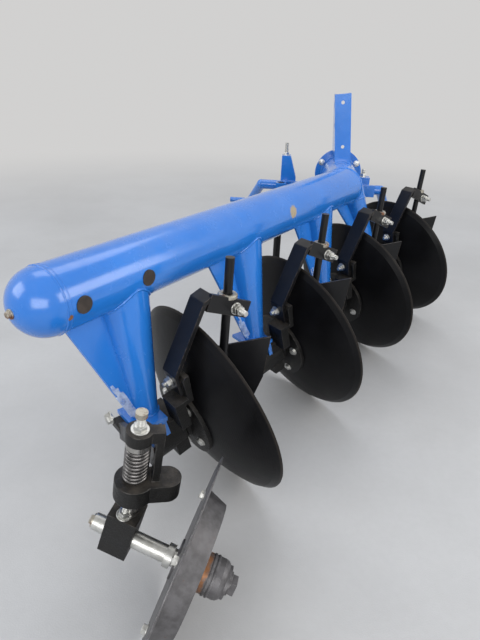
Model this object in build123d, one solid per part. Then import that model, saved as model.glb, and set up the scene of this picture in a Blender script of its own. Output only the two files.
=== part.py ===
from build123d import *
from math import cos, radians, sin, sqrt
import os

# Mounted disc plough, millimetres. X right, Y forward along the travel, Z up from the floor.
# Pieces are placed from the ground point below the rear disc, then the whole is centred.

# Discs and how they stand
DISC_COUNT = 4
DISC_RADIUS = 330.0
DISC_BOWL_RADIUS = 620.0
DISC_THICKNESS = 6.0
DISC_EDGE = 1.5
DISC_BEVEL = 20.0
DISC_ANGLE = 45.0
DISC_TILT = 15.0
DISC_SPACING = 552.0
# From the rim's plane back to the seat of the bowl on its hub
HUB_SEAT = 95.1

# Beam, with its stub turned forward
BEAM_ANGLE = 29.0
BEAM_RADIUS = 84.0
BEAM_WALL = 7.0
BEAM_SIDE = -150.0
BEAM_HEIGHT = 762.0
BEAM_REAR = -410.0
BEAM_ELBOW = 1180.0
STUB_LENGTH = 334.0
FLANGE_RADIUS = 118.0
FLANGE_THICKNESS = 16.0
PLUG_RADIUS = 21.0
PLUG_STAND = 2.0
PLUG_DEPTH = 5.0
PLUG_PLACES = (-367.0, -165.0)

# Mast on the stub, with heights above the beam's axis
MAST_WIDTH = 74.0
MAST_PLATE = 8.0
MAST_AHEAD = 140.0
MAST_FOOT_SIDE = 9.0
MAST_LEAN = 6.5
MAST_TOP = 384.0
MAST_DEPTH_TOP = 58.0
MAST_SHOULDER = 110.0
WEB_HOLE_RADIUS = 8.0
WEB_HOLE_HEIGHTS = (348.0, 156.0)
TOP_LINK_RADIUS = 12.8
TOP_LINK_HEIGHTS = (336.0, 248.0)
TOP_LINK_DEPTH = 34.0

# Hangers: half cone trough, rear wing, base plate above the disc's centre, and foot plate
TROUGH_TOP_RADIUS = 80.0
TROUGH_TOP_DROP = 17.0
TROUGH_FOOT_RADIUS = 38.0
TROUGH_FOOT_SIDE = -68.0
TROUGH_FOOT_ALONG = -211.0
TROUGH_WALL = 8.0
BASE_ABOVE_DISC = 56.9
BASE_THICKNESS = 12.0
BASE_FRONT = -188.0
BASE_LENGTH = 96.0
BASE_WIDTH = 112.0
BASE_SIDE = 6.0
WING_THICKNESS = 8.0
WING_LAP = 6.0
FOOT_PLATE_BACK = 172.0
FOOT_PLATE_THICKNESS = 14.0
FOOT_PLATE_TOP = 100.0
# Top of each trough: side and along, from its own disc
HANGER_TOPS = (
    {"side": -150.0, "along": -198.0},
    {"side": -150.0, "along": -208.0},
    {"side": -150.0, "along": -208.0},
    {"side": -187.0, "along": -347.0},
)
# How far the wing reaches out from the trough, by share of its height
WING_FORM = (
    {"share": 0.0, "reach": 12.0},
    {"share": 0.25, "reach": 42.0},
    {"share": 0.5, "reach": 72.0},
    {"share": 0.86, "reach": 116.0},
)

# Hub carriers, hub flanges and disc shafts
CARRIER_FRONT = 128.0
CARRIER_WIDTH = 108.0
CARRIER_HALF = 70.0
LUG_SIDE = -63.0
LUG_WIDTH = 70.0
REAR_CAP_RADIUS = 60.0
REAR_CAP_BACK = 226.0
REAR_CAP_WALL = 12.0
CAP_GAP = 3.0
SHAFT_RADIUS = 25.0
SHAFT_END_GAP = 2.0
RUNNING_GAP = 0.05
HUB_FLANGE_RADIUS = 126.0
HUB_FLANGE_THICKNESS = 12.0
HUB_BOSS_RADIUS = 55.0
HUB_BOSS_BACK = 122.0

# Lug that carries the scraper arm: height up the disc's face and place along its axis
LUG_OUTLINE = (
    (60.0, -150.0),
    (60.0, -119.0),
    (136.0, -119.0),
    (136.0, -92.0),
    (222.0, -84.0),
    (222.0, -98.0),
    (212.0, -106.0),
    (150.0, -106.0),
    (150.0, -150.0),
)

# Scrapers, in the frame of their disc
ARM_WIDTH = 62.0
ARM_THICKNESS = 12.0
ARM_POINTS = (
    (-52.0, 158.0, -112.0),
    (-52.0, 226.0, -112.0),
    (-64.0, 394.0, 20.0),
    (-64.0, 398.0, 52.0),
)
# Plate on edge at the top of the arm, that the stem is clamped against
ARM_CLAMP_SIDE = -90.0
ARM_CLAMP_THICKNESS = 12.0
ARM_CLAMP_HEIGHT = 48.0
ARM_CLAMP_START = (391.0, 32.0)
ARM_CLAMP_END = (303.0, 145.0)
STEM_RADIUS = 12.5
STEM_SIDE = -72.5
STEM_TOP = (467.0, 138.0)
STEM_FOOT = (150.0, 32.0)
# Blade: outline along a direction turned from the disc's face, and down the stem from its top edge
BLADE_TURN = 54.5
BLADE_TOP = 216.0
BLADE_THICKNESS = 6.0
BLADE_LAP = 2.0
BLADE_OUTLINE = (
    (-112.0, 0.0),
    (136.0, 0.0),
    (92.0, -125.0),
    (50.0, -190.0),
    (-60.0, -190.0),
    (-92.0, -120.0),
)

# Hitch: plate on the flange, cranked cross shaft in two clamps. Sides from the elbow, X to the right
SHAFT_DROP = 90.0
HITCH_LEFT = -318.0
HITCH_RIGHT = 205.0
HITCH_PLATE_HEIGHT = 60.0
HITCH_PLATE_THICKNESS = 16.0
CROSS_RADIUS = 25.0
CROSS_AHEAD = 44.0
CROSS_LEFT = -400.0
CROSS_RIGHT = 240.0
KNEE_RADIUS = 25.5
CRANK_SIDE = 67.5
CRANK_AHEAD = 150.0
CRANK_DROP = 130.0
PIN_NECK_RADIUS = 12.5
PIN_START = 33.0
PIN_RADIUS = 14.0
PIN_END = 120.0
SHAFT_CLAMP_FRONT = 78.0
SHAFT_CLAMP_LOW = -34.0
# Each clamp: edges of its foot and of its top, and its top and shoulder above the shaft
SHAFT_CLAMPS = (
    {"name": "left", "left": -296.0, "right": -216.0, "top_right": -250.0, "shoulder": 50.0, "top": 158.0},
    {"name": "right", "left": 104.0, "right": 174.0, "top_right": 174.0, "shoulder": 50.0, "top": 66.0},
)

# Tail wheel, on an axle that leans and toes in
TAIL_WHEEL_RADIUS = 248.0
TAIL_SIDE = 11.0
TAIL_ALONG = -506.0
TAIL_LEAN = 17.5
TAIL_TOE = 8.0
TAIL_BLADE_HALF = 3.0
TAIL_EDGE_HALF = 1.0
TAIL_BEVEL = 14.0
RIM_RADIUS = 168.0
RIM_END_RADIUS = 151.0
RIM_WIDTH = 50.0
RIM_WALL = 9.0
HUB_RADIUS = 45.0
HUB_START = -8.0
HUB_END = 103.0
HUB_CAP_RADIUS = 37.0
HUB_CAP_END = 122.0
AXLE_RADIUS = 20.0
AXLE_START = -214.0
AXLE_END = 92.0
COLLAR_RADIUS = 27.0
COLLAR_START = -32.0
COLLAR_END = -15.0
AXLE_CLAMP_ACROSS = -147.5
AXLE_CLAMP_WIDTH = 68.0
AXLE_CLAMP_DEPTH = 66.0
AXLE_CLAMP_LOW = -42.0
AXLE_CLAMP_HIGH = 86.0

# Spring-loaded spindle, in a frame of its own that starts on the axle
SPINDLE_ACROSS = -127.5
SPINDLE_LEAN = 9.0
GUIDE_TURN = 28.0
SPINDLE_RADIUS = 16.0
GUIDE_LOW = 146.0
GUIDE_HIGH = 192.0
GUIDE_RADIUS = 43.0
LOBE_PLACE = 70.0
LOBE_RADIUS = 30.0
COLUMN_LEFT = 35.0
COLUMN_RIGHT = 51.0
COLUMN_DEPTH = 26.0
CAP_RADIUS = 28.0
CAP_LOW = 302.0
CAP_HIGH = 330.0
SPRING_RADIUS = 22.5
SPRING_WIRE = 4.0
SPRING_TURNS = 9
SEAT_THICKNESS = 14.0
SCREW_RADIUS = 8.0
SCREW_TOP = 364.0
SCREW_HEAD_RADIUS = 12.5
SCREW_HEAD = 12.0
TAIL_ARM_HEIGHT = 54.0
TAIL_ARM_THICKNESS = 16.0
TAIL_PAD_WIDTH = 84.0
TAIL_PAD_THICKNESS = 14.0
TAIL_PAD_START = -214.0
TAIL_PAD_END = -312.0
TAIL_ARM_START = -300.0
TAIL_ARM_DROP = 16.0
TAIL_ARM_END = 250.0
TAIL_ARM_ACROSS = 43.0
TAIL_ARM_AHEAD = 3.0

# Parking stand on the left of the hitch plate: leg that slides in a square sleeve
STAND_SIDE = -291.0
SLEEVE_WIDTH = 54.0
SLEEVE_LENGTH = 98.0
LEG_RADIUS = 20.0
LEG_WALL = 4.0
LEG_GAP = 0.3
LEG_BELOW_TOP = 2.0
FOOT_RADIUS = 55.0
FOOT_THICKNESS = 8.0

os.makedirs("parts", exist_ok=True)

UP = Vector(0, 0, 1)
AHEAD = Vector(0, 1, 0)
BEAM_AIM = Vector(sin(radians(BEAM_ANGLE)), cos(radians(BEAM_ANGLE)), 0)
BEAM_RIGHT = Vector(cos(radians(BEAM_ANGLE)), -sin(radians(BEAM_ANGLE)), 0)
DISC_SIDE = Vector(cos(radians(DISC_ANGLE)), -sin(radians(DISC_ANGLE)), 0)
DISC_HEADING = Vector(sin(radians(DISC_ANGLE)), cos(radians(DISC_ANGLE)), 0)
DISC_AXIS = DISC_HEADING * cos(radians(DISC_TILT)) + UP * sin(radians(DISC_TILT))
DISC_HEIGHT = DISC_RADIUS * cos(radians(DISC_TILT)) + DISC_EDGE * sin(radians(DISC_TILT))
BASE_TOP = DISC_HEIGHT + BASE_ABOVE_DISC
BOWL_DEPTH = DISC_BOWL_RADIUS - sqrt(DISC_BOWL_RADIUS ** 2 - DISC_RADIUS ** 2)
BOWL_SHIFT = BOWL_DEPTH - HUB_SEAT
TAIL_RIGHT = Vector(cos(radians(TAIL_TOE)), -sin(radians(TAIL_TOE)), 0)
TAIL_AXLE = TAIL_RIGHT * cos(radians(TAIL_LEAN)) - UP * sin(radians(TAIL_LEAN))
TAIL_UP = TAIL_RIGHT * sin(radians(TAIL_LEAN)) + UP * cos(radians(TAIL_LEAN))
TAIL_HEIGHT = TAIL_WHEEL_RADIUS * cos(radians(TAIL_LEAN)) + TAIL_EDGE_HALF * sin(radians(TAIL_LEAN))
LOW = (Align.CENTER, Align.CENTER, Align.MIN)
# How far a piece runs into the next before it is cut or joined
OVERLAP = 1.0


def row_point(side, along, height):
    return BEAM_RIGHT * side + BEAM_AIM * along + UP * height


ELBOW = row_point(BEAM_SIDE, BEAM_ELBOW, BEAM_HEIGHT)
STUB_END = ELBOW + AHEAD * STUB_LENGTH
FLANGE_FACE = STUB_END + AHEAD * FLANGE_THICKNESS


def disc_centre(index):
    return row_point(0, index * DISC_SPACING, DISC_HEIGHT)


def disc_frame(index):
    """X to the left of the disc, Y up its face, Z along its axis."""
    return Plane(origin=disc_centre(index), x_dir=-DISC_SIDE, z_dir=DISC_AXIS)


SHAFT_HEIGHT = BEAM_HEIGHT - SHAFT_DROP
SLEEVE_TOP = SHAFT_HEIGHT + HITCH_PLATE_HEIGHT / 2
SLEEVE_LOW = SLEEVE_TOP - SLEEVE_LENGTH
TAIL_CENTRE = Vector(TAIL_SIDE, TAIL_ALONG, TAIL_HEIGHT)
SPIN_FRAME = Plane(origin=TAIL_CENTRE, x_dir=TAIL_UP, z_dir=TAIL_AXLE)
AXLE_FRAME = Plane(origin=TAIL_CENTRE, x_dir=TAIL_AXLE, z_dir=TAIL_UP)
SPINDLE_UP = TAIL_RIGHT * sin(radians(SPINDLE_LEAN)) + UP * cos(radians(SPINDLE_LEAN))
SPINDLE_RIGHT = TAIL_RIGHT * cos(radians(SPINDLE_LEAN)) - UP * sin(radians(SPINDLE_LEAN))
SPINDLE_AHEAD = SPINDLE_UP.cross(SPINDLE_RIGHT)
SPINDLE_SIDE = SPINDLE_RIGHT * cos(radians(GUIDE_TURN)) + SPINDLE_AHEAD * sin(radians(GUIDE_TURN))
SPINDLE_FRAME = Plane(origin=TAIL_CENTRE + TAIL_AXLE * SPINDLE_ACROSS, x_dir=SPINDLE_SIDE, z_dir=SPINDLE_UP)


def rod(start, end, radius):
    span = end - start
    return Plane(origin=start, z_dir=span) * Cylinder(radius, span.length, align=LOW)


def flat_bar(start, end, width, thickness, wide_way):
    span = end - start
    frame = Plane(origin=start, x_dir=wide_way, z_dir=span)
    return frame * Box(width, thickness, span.length, align=LOW)


def slab(points, thickness):
    return extrude(make_face(Polyline(*points, close=True)), thickness)


def turned(points):
    return revolve(Plane.XZ * make_face(Polyline(*points, close=True)), Axis.Z)


def sphere_height(radius, out):
    """Height above the rim plane of a sphere round the bowl's centre, at a distance from the axis."""
    return sqrt(DISC_BOWL_RADIUS ** 2 - DISC_RADIUS ** 2) - sqrt(radius ** 2 - out ** 2)


def sphere_point(radius, out):
    return Vector(out, sphere_height(radius, out))


def sphere_arc(radius, start, end):
    middle = (start + end) / 2
    return ThreePointArc(*[sphere_point(radius, out) for out in (start, middle, end)])


def dished(inner, outer, edge):
    """Solid between two spheres, closed at its rim by the points of an edge line."""
    profile = Curve() + [
        sphere_arc(inner, 0, edge[0].X),
        Polyline(*edge),
        sphere_arc(outer, edge[-1].X, 0),
        Line(sphere_point(outer, 0), sphere_point(inner, 0)),
    ]
    return revolve(Plane.XZ * make_face(profile), Axis.Z)


def disc_blade(index):
    outer = DISC_BOWL_RADIUS + DISC_THICKNESS
    edge = (
        Vector(DISC_RADIUS, 0),
        Vector(DISC_RADIUS, -DISC_EDGE),
        sphere_point(outer, DISC_RADIUS - DISC_BEVEL),
    )
    return disc_frame(index) * Pos(0, 0, BOWL_SHIFT) * dished(DISC_BOWL_RADIUS, outer, edge)


def hub_flange(index):
    inner = DISC_BOWL_RADIUS + DISC_THICKNESS
    outer = inner + HUB_FLANGE_THICKNESS
    edge = (sphere_point(inner, HUB_FLANGE_RADIUS), sphere_point(outer, HUB_FLANGE_RADIUS))
    back = sphere_height(outer, HUB_BOSS_RADIUS) + BOWL_SHIFT
    boss = Pos(0, 0, -HUB_BOSS_BACK) * Cylinder(HUB_BOSS_RADIUS, HUB_BOSS_BACK + back, align=LOW)
    end = REAR_CAP_BACK - REAR_CAP_WALL - SHAFT_END_GAP
    shaft = Pos(0, 0, -end) * Cylinder(SHAFT_RADIUS, end - HUB_BOSS_BACK, align=LOW)
    return disc_frame(index) * (Pos(0, 0, BOWL_SHIFT) * dished(inner, outer, edge) + boss + shaft)


def hub_carrier(index):
    depth = FOOT_PLATE_BACK - CARRIER_FRONT
    plate = Pos(0, 0, -FOOT_PLATE_BACK) * Box(CARRIER_WIDTH, 2 * CARRIER_HALF, depth, align=LOW)
    lug = Plane(origin=(LUG_SIDE - LUG_WIDTH / 2, 0, 0), x_dir=(0, 1, 0), z_dir=(1, 0, 0)) * slab(
        LUG_OUTLINE, LUG_WIDTH
    )
    rear = Pos(0, 0, -REAR_CAP_BACK) * Cylinder(REAR_CAP_RADIUS, REAR_CAP_BACK - CARRIER_FRONT, align=LOW)
    bore = Pos(0, 0, REAR_CAP_WALL - REAR_CAP_BACK) * Cylinder(
        SHAFT_RADIUS + RUNNING_GAP, REAR_CAP_BACK, align=LOW
    )
    return disc_frame(index) * (plate + lug + rear - bore)


def trough_section(side, along, radius, height):
    inner = radius - TROUGH_WALL
    outline = Curve() + [
        ThreePointArc((side, along - radius), (side + radius, along), (side, along + radius)),
        Line((side, along + radius), (side, along + inner)),
        ThreePointArc((side, along + inner), (side + inner, along), (side, along - inner)),
        Line((side, along - inner), (side, along - radius)),
    ]
    return Pos(0, 0, height) * make_face(outline)


def hanger_wing(low, high):
    """Plate that reaches rearward from the trough's rear edge between two points."""
    edge = high - low
    frame = Plane(origin=low, x_dir=AHEAD, z_dir=AHEAD.cross(edge))
    drift = edge.Y
    rise = sqrt(edge.X ** 2 + edge.Z ** 2)
    outer = [(row["share"] * drift - row["reach"], row["share"] * rise) for row in WING_FORM]
    top = WING_FORM[-1]["share"]
    inner = [(top * drift + WING_LAP, top * rise), (WING_LAP, 0)]
    return frame * slab(outer + inner, WING_THICKNESS)


def hanger(index, beam_body):
    top = HANGER_TOPS[index]
    top_height = BEAM_HEIGHT - TROUGH_TOP_DROP
    sections = [
        trough_section(TROUGH_FOOT_SIDE, TROUGH_FOOT_ALONG, TROUGH_FOOT_RADIUS, BASE_TOP - OVERLAP),
        trough_section(top["side"], top["along"], TROUGH_TOP_RADIUS, top_height),
    ]
    low = Vector(TROUGH_FOOT_SIDE, TROUGH_FOOT_ALONG - TROUGH_FOOT_RADIUS, BASE_TOP - OVERLAP)
    high = Vector(top["side"], top["along"] - TROUGH_TOP_RADIUS, top_height)
    beam_frame = Plane(origin=row_point(0, index * DISC_SPACING, 0), x_dir=BEAM_RIGHT, z_dir=UP)
    shell = beam_frame * (loft(sections) + hanger_wing(low, high))
    ground_frame = Plane(origin=row_point(0, index * DISC_SPACING, 0), x_dir=DISC_SIDE, z_dir=UP)
    base = ground_frame * Pos(BASE_SIDE, BASE_FRONT, BASE_TOP - BASE_THICKNESS) * Box(
        BASE_WIDTH, BASE_LENGTH, BASE_THICKNESS, align=(Align.CENTER, Align.MAX, Align.MIN)
    )
    foot = Pos(0, 0, -FOOT_PLATE_BACK) * Box(
        CARRIER_WIDTH, FOOT_PLATE_TOP, FOOT_PLATE_THICKNESS, align=(Align.CENTER, Align.MIN, Align.MAX)
    )
    notch = Pos(0, 0, -REAR_CAP_BACK) * Cylinder(REAR_CAP_RADIUS + CAP_GAP, REAR_CAP_BACK, align=LOW)
    return shell + base + disc_frame(index) * (foot - notch) - beam_body


def stem(index):
    foot, top = Vector(STEM_SIDE, *STEM_FOOT), Vector(STEM_SIDE, *STEM_TOP)
    return disc_frame(index) * rod(foot, top, STEM_RADIUS)


def scraper_arm(index):
    """Bent flat bar with the clamp plate welded on edge along its right side."""
    side = Vector(1, 0, 0)
    points = [Vector(*place) for place in ARM_POINTS]
    shape = flat_bar(points[0], points[1], ARM_WIDTH, ARM_THICKNESS, side)
    for start, end in zip(points[1:], points[2:]):
        shape += flat_bar(start, end, ARM_WIDTH, ARM_THICKNESS, side)
    for bend in points[1:-1]:
        shape += Plane(origin=bend - side * ARM_WIDTH / 2, z_dir=side) * Cylinder(
            ARM_THICKNESS / 2, ARM_WIDTH, align=LOW
        )
    start, end = Vector(ARM_CLAMP_SIDE, *ARM_CLAMP_START), Vector(ARM_CLAMP_SIDE, *ARM_CLAMP_END)
    shape += flat_bar(start, end, ARM_CLAMP_THICKNESS, ARM_CLAMP_HEIGHT, side)
    return disc_frame(index) * shape - stem(index)


def scraper(index):
    """Round stem, and a blade turned outwards from the bowl."""
    slope = Vector(0, STEM_TOP[0] - STEM_FOOT[0], STEM_TOP[1] - STEM_FOOT[1]).normalized()
    turn = radians(BLADE_TURN)
    across = Vector(-cos(turn), 0, sin(turn))
    face = across.cross(slope)
    depth = STEM_FOOT[1] + (BLADE_TOP - STEM_FOOT[0]) * slope.Z / slope.Y
    origin = Vector(STEM_SIDE, BLADE_TOP, depth) - face * (STEM_RADIUS + BLADE_THICKNESS - BLADE_LAP)
    blade = Plane(origin=origin, x_dir=across, z_dir=face) * slab(BLADE_OUTLINE, BLADE_THICKNESS)
    return stem(index) + disc_frame(index) * blade


def beam_outer():
    rear = row_point(BEAM_SIDE, BEAM_REAR, BEAM_HEIGHT)
    return sweep(
        Plane(origin=rear, z_dir=BEAM_AIM) * Circle(BEAM_RADIUS),
        path=Polyline(rear, ELBOW, STUB_END),
        transition=Transition.RIGHT,
    )


def beam_inner():
    rear = row_point(BEAM_SIDE, BEAM_REAR, BEAM_HEIGHT)
    return sweep(
        Plane(origin=rear, z_dir=BEAM_AIM) * Circle(BEAM_RADIUS - BEAM_WALL),
        path=Polyline(rear, ELBOW, STUB_END),
        transition=Transition.RIGHT,
    )


def rear_dome():
    inner = BEAM_RADIUS - BEAM_WALL
    profile = Curve() + [
        CenterArc((0, 0), BEAM_RADIUS, 0, 90),
        Line((0, BEAM_RADIUS), (0, inner)),
        CenterArc((0, 0), inner, 90, -90),
        Line((inner, 0), (BEAM_RADIUS, 0)),
    ]
    frame = Plane(origin=row_point(BEAM_SIDE, BEAM_REAR, BEAM_HEIGHT), x_dir=UP, z_dir=-BEAM_AIM)
    return frame * revolve(Plane.XZ * make_face(profile), Axis.Z)


def beam_plugs(beam_body):
    plugs = []
    for along in PLUG_PLACES:
        centre = row_point(BEAM_SIDE, along, BEAM_HEIGHT)
        start = centre + BEAM_RIGHT * (BEAM_RADIUS - PLUG_DEPTH)
        plugs.append(rod(start, centre + BEAM_RIGHT * (BEAM_RADIUS + PLUG_STAND), PLUG_RADIUS) - beam_body)
    return plugs


def front_flange():
    return rod(STUB_END, FLANGE_FACE, FLANGE_RADIUS)


def mast(beam_body):
    lean = Vector(-sin(radians(MAST_LEAN)), 0, cos(radians(MAST_LEAN)))
    origin = ELBOW + Vector(MAST_FOOT_SIDE, MAST_AHEAD, 0)
    frame = Plane(origin=origin, x_dir=AHEAD, z_dir=lean.cross(AHEAD) * -1)
    length = MAST_TOP / cos(radians(MAST_LEAN))
    depth = STUB_LENGTH - MAST_AHEAD
    shoulder = MAST_SHOULDER / cos(radians(MAST_LEAN))
    outline = ((0, 0), (depth, 0), (depth, shoulder), (MAST_DEPTH_TOP, length), (0, length))
    block = Pos(0, 0, -MAST_WIDTH / 2) * slab(outline, MAST_WIDTH)
    hollow = Pos(MAST_PLATE, -OVERLAP, 0) * Box(
        depth,
        length + 2 * OVERLAP,
        MAST_WIDTH - 2 * MAST_PLATE,
        align=(Align.MIN, Align.MIN, Align.CENTER),
    )
    shape = block - hollow
    for height in WEB_HOLE_HEIGHTS:
        up = height / cos(radians(MAST_LEAN))
        shape -= Pos(0, up, 0) * Rot(0, 90, 0) * Cylinder(WEB_HOLE_RADIUS, MAST_DEPTH_TOP)
    for height in TOP_LINK_HEIGHTS:
        up = height / cos(radians(MAST_LEAN))
        shape -= Pos(TOP_LINK_DEPTH, up, 0) * Cylinder(TOP_LINK_RADIUS, 2 * MAST_WIDTH)
    return frame * shape - beam_body


def hitch_point(side, ahead):
    """Point at the cross shaft's height, ahead of the front flange."""
    return Vector(ELBOW.X + side, FLANGE_FACE.Y + ahead, SHAFT_HEIGHT)


def hitch_plate():
    middle = HITCH_PLATE_THICKNESS / 2
    start, end = hitch_point(HITCH_LEFT, middle), hitch_point(HITCH_RIGHT, middle)
    return flat_bar(start, end, HITCH_PLATE_THICKNESS, HITCH_PLATE_HEIGHT, AHEAD)


def cross_shaft():
    left, right = hitch_point(CROSS_LEFT, CROSS_AHEAD), hitch_point(CROSS_RIGHT, CROSS_AHEAD)
    shape = rod(left, right, CROSS_RADIUS)
    for end, way in ((left, -1), (right, 1)):
        knee = end + Vector(way * CRANK_SIDE, CRANK_AHEAD, -CRANK_DROP)
        shape += Pos(*end) * Sphere(KNEE_RADIUS)
        shape += rod(end, knee, CROSS_RADIUS)
        shape += Pos(*knee) * Sphere(KNEE_RADIUS)
        start = knee + Vector(way * PIN_START, 0, 0)
        shape += rod(knee, start + Vector(way * OVERLAP, 0, 0), PIN_NECK_RADIUS)
        shape += rod(start, knee + Vector(way * PIN_END, 0, 0), PIN_RADIUS)
    return shape


def shaft_clamp(row, cross_body):
    outline = (
        (row["left"], SHAFT_CLAMP_LOW),
        (row["right"], SHAFT_CLAMP_LOW),
        (row["right"], row["shoulder"]),
        (row["top_right"], row["top"]),
        (row["left"], row["top"]),
    )
    frame = Plane(origin=hitch_point(0, SHAFT_CLAMP_FRONT), x_dir=(1, 0, 0), z_dir=-AHEAD)
    return frame * slab(outline, SHAFT_CLAMP_FRONT - HITCH_PLATE_THICKNESS) - cross_body


def stand_point(height):
    return Vector(ELBOW.X + STAND_SIDE, FLANGE_FACE.Y - SLEEVE_WIDTH / 2, height)


def stand_sleeve():
    frame = Pos(*stand_point(SLEEVE_LOW))
    block = frame * Box(SLEEVE_WIDTH, SLEEVE_WIDTH, SLEEVE_LENGTH, align=LOW)
    return block - frame * Cylinder(LEG_RADIUS + LEG_GAP, SLEEVE_LENGTH, align=LOW)


def stand_leg():
    foot, start = stand_point(0), stand_point(FOOT_THICKNESS)
    top = stand_point(SLEEVE_TOP - LEG_BELOW_TOP)
    return rod(foot, start, FOOT_RADIUS) + (rod(start, top, LEG_RADIUS) - rod(start, top, LEG_RADIUS - LEG_WALL))


def spindle_point(across, ahead, height):
    return SPINDLE_FRAME.from_local_coords(Vector(across, ahead, height))


def spindle_box(left, right, depth, low, high):
    box = Box(right - left, depth, high - low, align=(Align.MIN, Align.CENTER, Align.MIN))
    return SPINDLE_FRAME * Pos(left, 0, low) * box


def spindle_rod(low, high, radius, across=0.0):
    return SPINDLE_FRAME * Pos(across, 0, low) * Cylinder(radius, high - low, align=LOW)


def tail_axle():
    axle = SPIN_FRAME * Pos(0, 0, AXLE_START) * Cylinder(AXLE_RADIUS, AXLE_END - AXLE_START, align=LOW)
    collar = SPIN_FRAME * Pos(0, 0, COLLAR_START) * Cylinder(
        COLLAR_RADIUS, COLLAR_END - COLLAR_START, align=LOW
    )
    return axle + collar


def axle_clamp(axle_body):
    block = Box(AXLE_CLAMP_WIDTH, AXLE_CLAMP_DEPTH, AXLE_CLAMP_HIGH - AXLE_CLAMP_LOW, align=LOW)
    return AXLE_FRAME * Pos(AXLE_CLAMP_ACROSS, 0, AXLE_CLAMP_LOW) * block - axle_body


def spindle(clamp_body, axle_body):
    return spindle_rod(0, CAP_LOW - SEAT_THICKNESS, SPINDLE_RADIUS) - clamp_body - axle_body


def spindle_guide(spindle_body):
    """Casting in one piece: guide boss with its lobe, column, and the cap over the spring."""
    boss = spindle_rod(GUIDE_LOW, GUIDE_HIGH, GUIDE_RADIUS)
    lobe = spindle_rod(GUIDE_LOW, GUIDE_HIGH, LOBE_RADIUS, LOBE_PLACE)
    bridge = spindle_box(0, LOBE_PLACE, 2 * LOBE_RADIUS, GUIDE_LOW, GUIDE_HIGH)
    column = spindle_box(COLUMN_LEFT, COLUMN_RIGHT, COLUMN_DEPTH, GUIDE_HIGH, CAP_HIGH)
    cap = spindle_rod(CAP_LOW, CAP_HIGH, CAP_RADIUS)
    root = spindle_box(0, COLUMN_RIGHT, COLUMN_DEPTH, CAP_LOW, CAP_HIGH)
    return boss + lobe + bridge + column + cap + root - spindle_body


def spring_screw():
    """Adjusting screw on the cap, with its head."""
    screw = spindle_rod(CAP_HIGH, SCREW_TOP, SCREW_RADIUS)
    return screw + spindle_rod(SCREW_TOP, SCREW_TOP + SCREW_HEAD, SCREW_HEAD_RADIUS)


def spring_seat():
    return spindle_rod(CAP_LOW - SEAT_THICKNESS, CAP_LOW, SPRING_RADIUS + SPRING_WIRE)


def tail_spring():
    height = CAP_LOW - SEAT_THICKNESS - GUIDE_HIGH - 2 * SPRING_WIRE
    coil = Helix(pitch=height / SPRING_TURNS, height=height, radius=SPRING_RADIUS)
    wire = Plane(origin=coil @ 0, x_dir=(1, 0, 0), z_dir=coil % 0) * Circle(SPRING_WIRE)
    spring = sweep(wire, path=coil, is_frenet=True)
    return SPINDLE_FRAME * Pos(0, 0, GUIDE_HIGH + SPRING_WIRE) * spring


def base_point(along, height):
    """Point on the middle line of the rear hanger's base plate."""
    return DISC_HEADING * along + DISC_SIDE * BASE_SIDE + UP * height


def tail_arm(guide_body):
    """Pad under the rear base plate, and a bar on edge back to the guide's column."""
    under = BASE_TOP - BASE_THICKNESS
    height = under - TAIL_PAD_THICKNESS / 2
    pad = flat_bar(
        base_point(TAIL_PAD_START, height),
        base_point(TAIL_PAD_END, height),
        TAIL_PAD_WIDTH,
        TAIL_PAD_THICKNESS,
        DISC_SIDE,
    )
    start = base_point(TAIL_ARM_START, under - TAIL_ARM_DROP)
    end = spindle_point(TAIL_ARM_ACROSS, TAIL_ARM_AHEAD, TAIL_ARM_END)
    plan = Vector(end.X - start.X, end.Y - start.Y, 0)
    half = TAIL_ARM_HEIGHT / 2
    rise = end.Z - start.Z
    outline = ((0, -half), (plan.length, rise - half), (plan.length, rise + half), (0, half))
    side = Plane(origin=start, x_dir=plan, z_dir=plan.cross(UP))
    bar = side * Pos(0, 0, -TAIL_ARM_THICKNESS / 2) * slab(outline, TAIL_ARM_THICKNESS)
    return pad + bar - guide_body


def furrow_blade():
    points = (
        (HUB_RADIUS, -TAIL_BLADE_HALF),
        (TAIL_WHEEL_RADIUS - TAIL_BEVEL, -TAIL_BLADE_HALF),
        (TAIL_WHEEL_RADIUS, -TAIL_EDGE_HALF),
        (TAIL_WHEEL_RADIUS, TAIL_EDGE_HALF),
        (TAIL_WHEEL_RADIUS - TAIL_BEVEL, TAIL_BLADE_HALF),
        (HUB_RADIUS, TAIL_BLADE_HALF),
    )
    return SPIN_FRAME * turned(points)


def wheel_rim():
    start = TAIL_BLADE_HALF
    end = start + RIM_WIDTH
    points = (
        (HUB_RADIUS, start),
        (RIM_RADIUS, start),
        (RIM_END_RADIUS, end),
        (RIM_END_RADIUS - RIM_WALL, end),
        (RIM_RADIUS - 2 * RIM_WALL, start + RIM_WALL),
        (HUB_RADIUS, start + RIM_WALL),
    )
    return SPIN_FRAME * turned(points)


def wheel_hub():
    bore = AXLE_RADIUS + RUNNING_GAP
    points = (
        (bore, HUB_START),
        (HUB_RADIUS, HUB_START),
        (HUB_RADIUS, HUB_END),
        (HUB_CAP_RADIUS, HUB_END),
        (HUB_CAP_RADIUS, HUB_CAP_END),
        (0, HUB_CAP_END),
        (0, AXLE_END + SHAFT_END_GAP),
        (bore, AXLE_END + SHAFT_END_GAP),
    )
    return SPIN_FRAME * turned(points)


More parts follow.
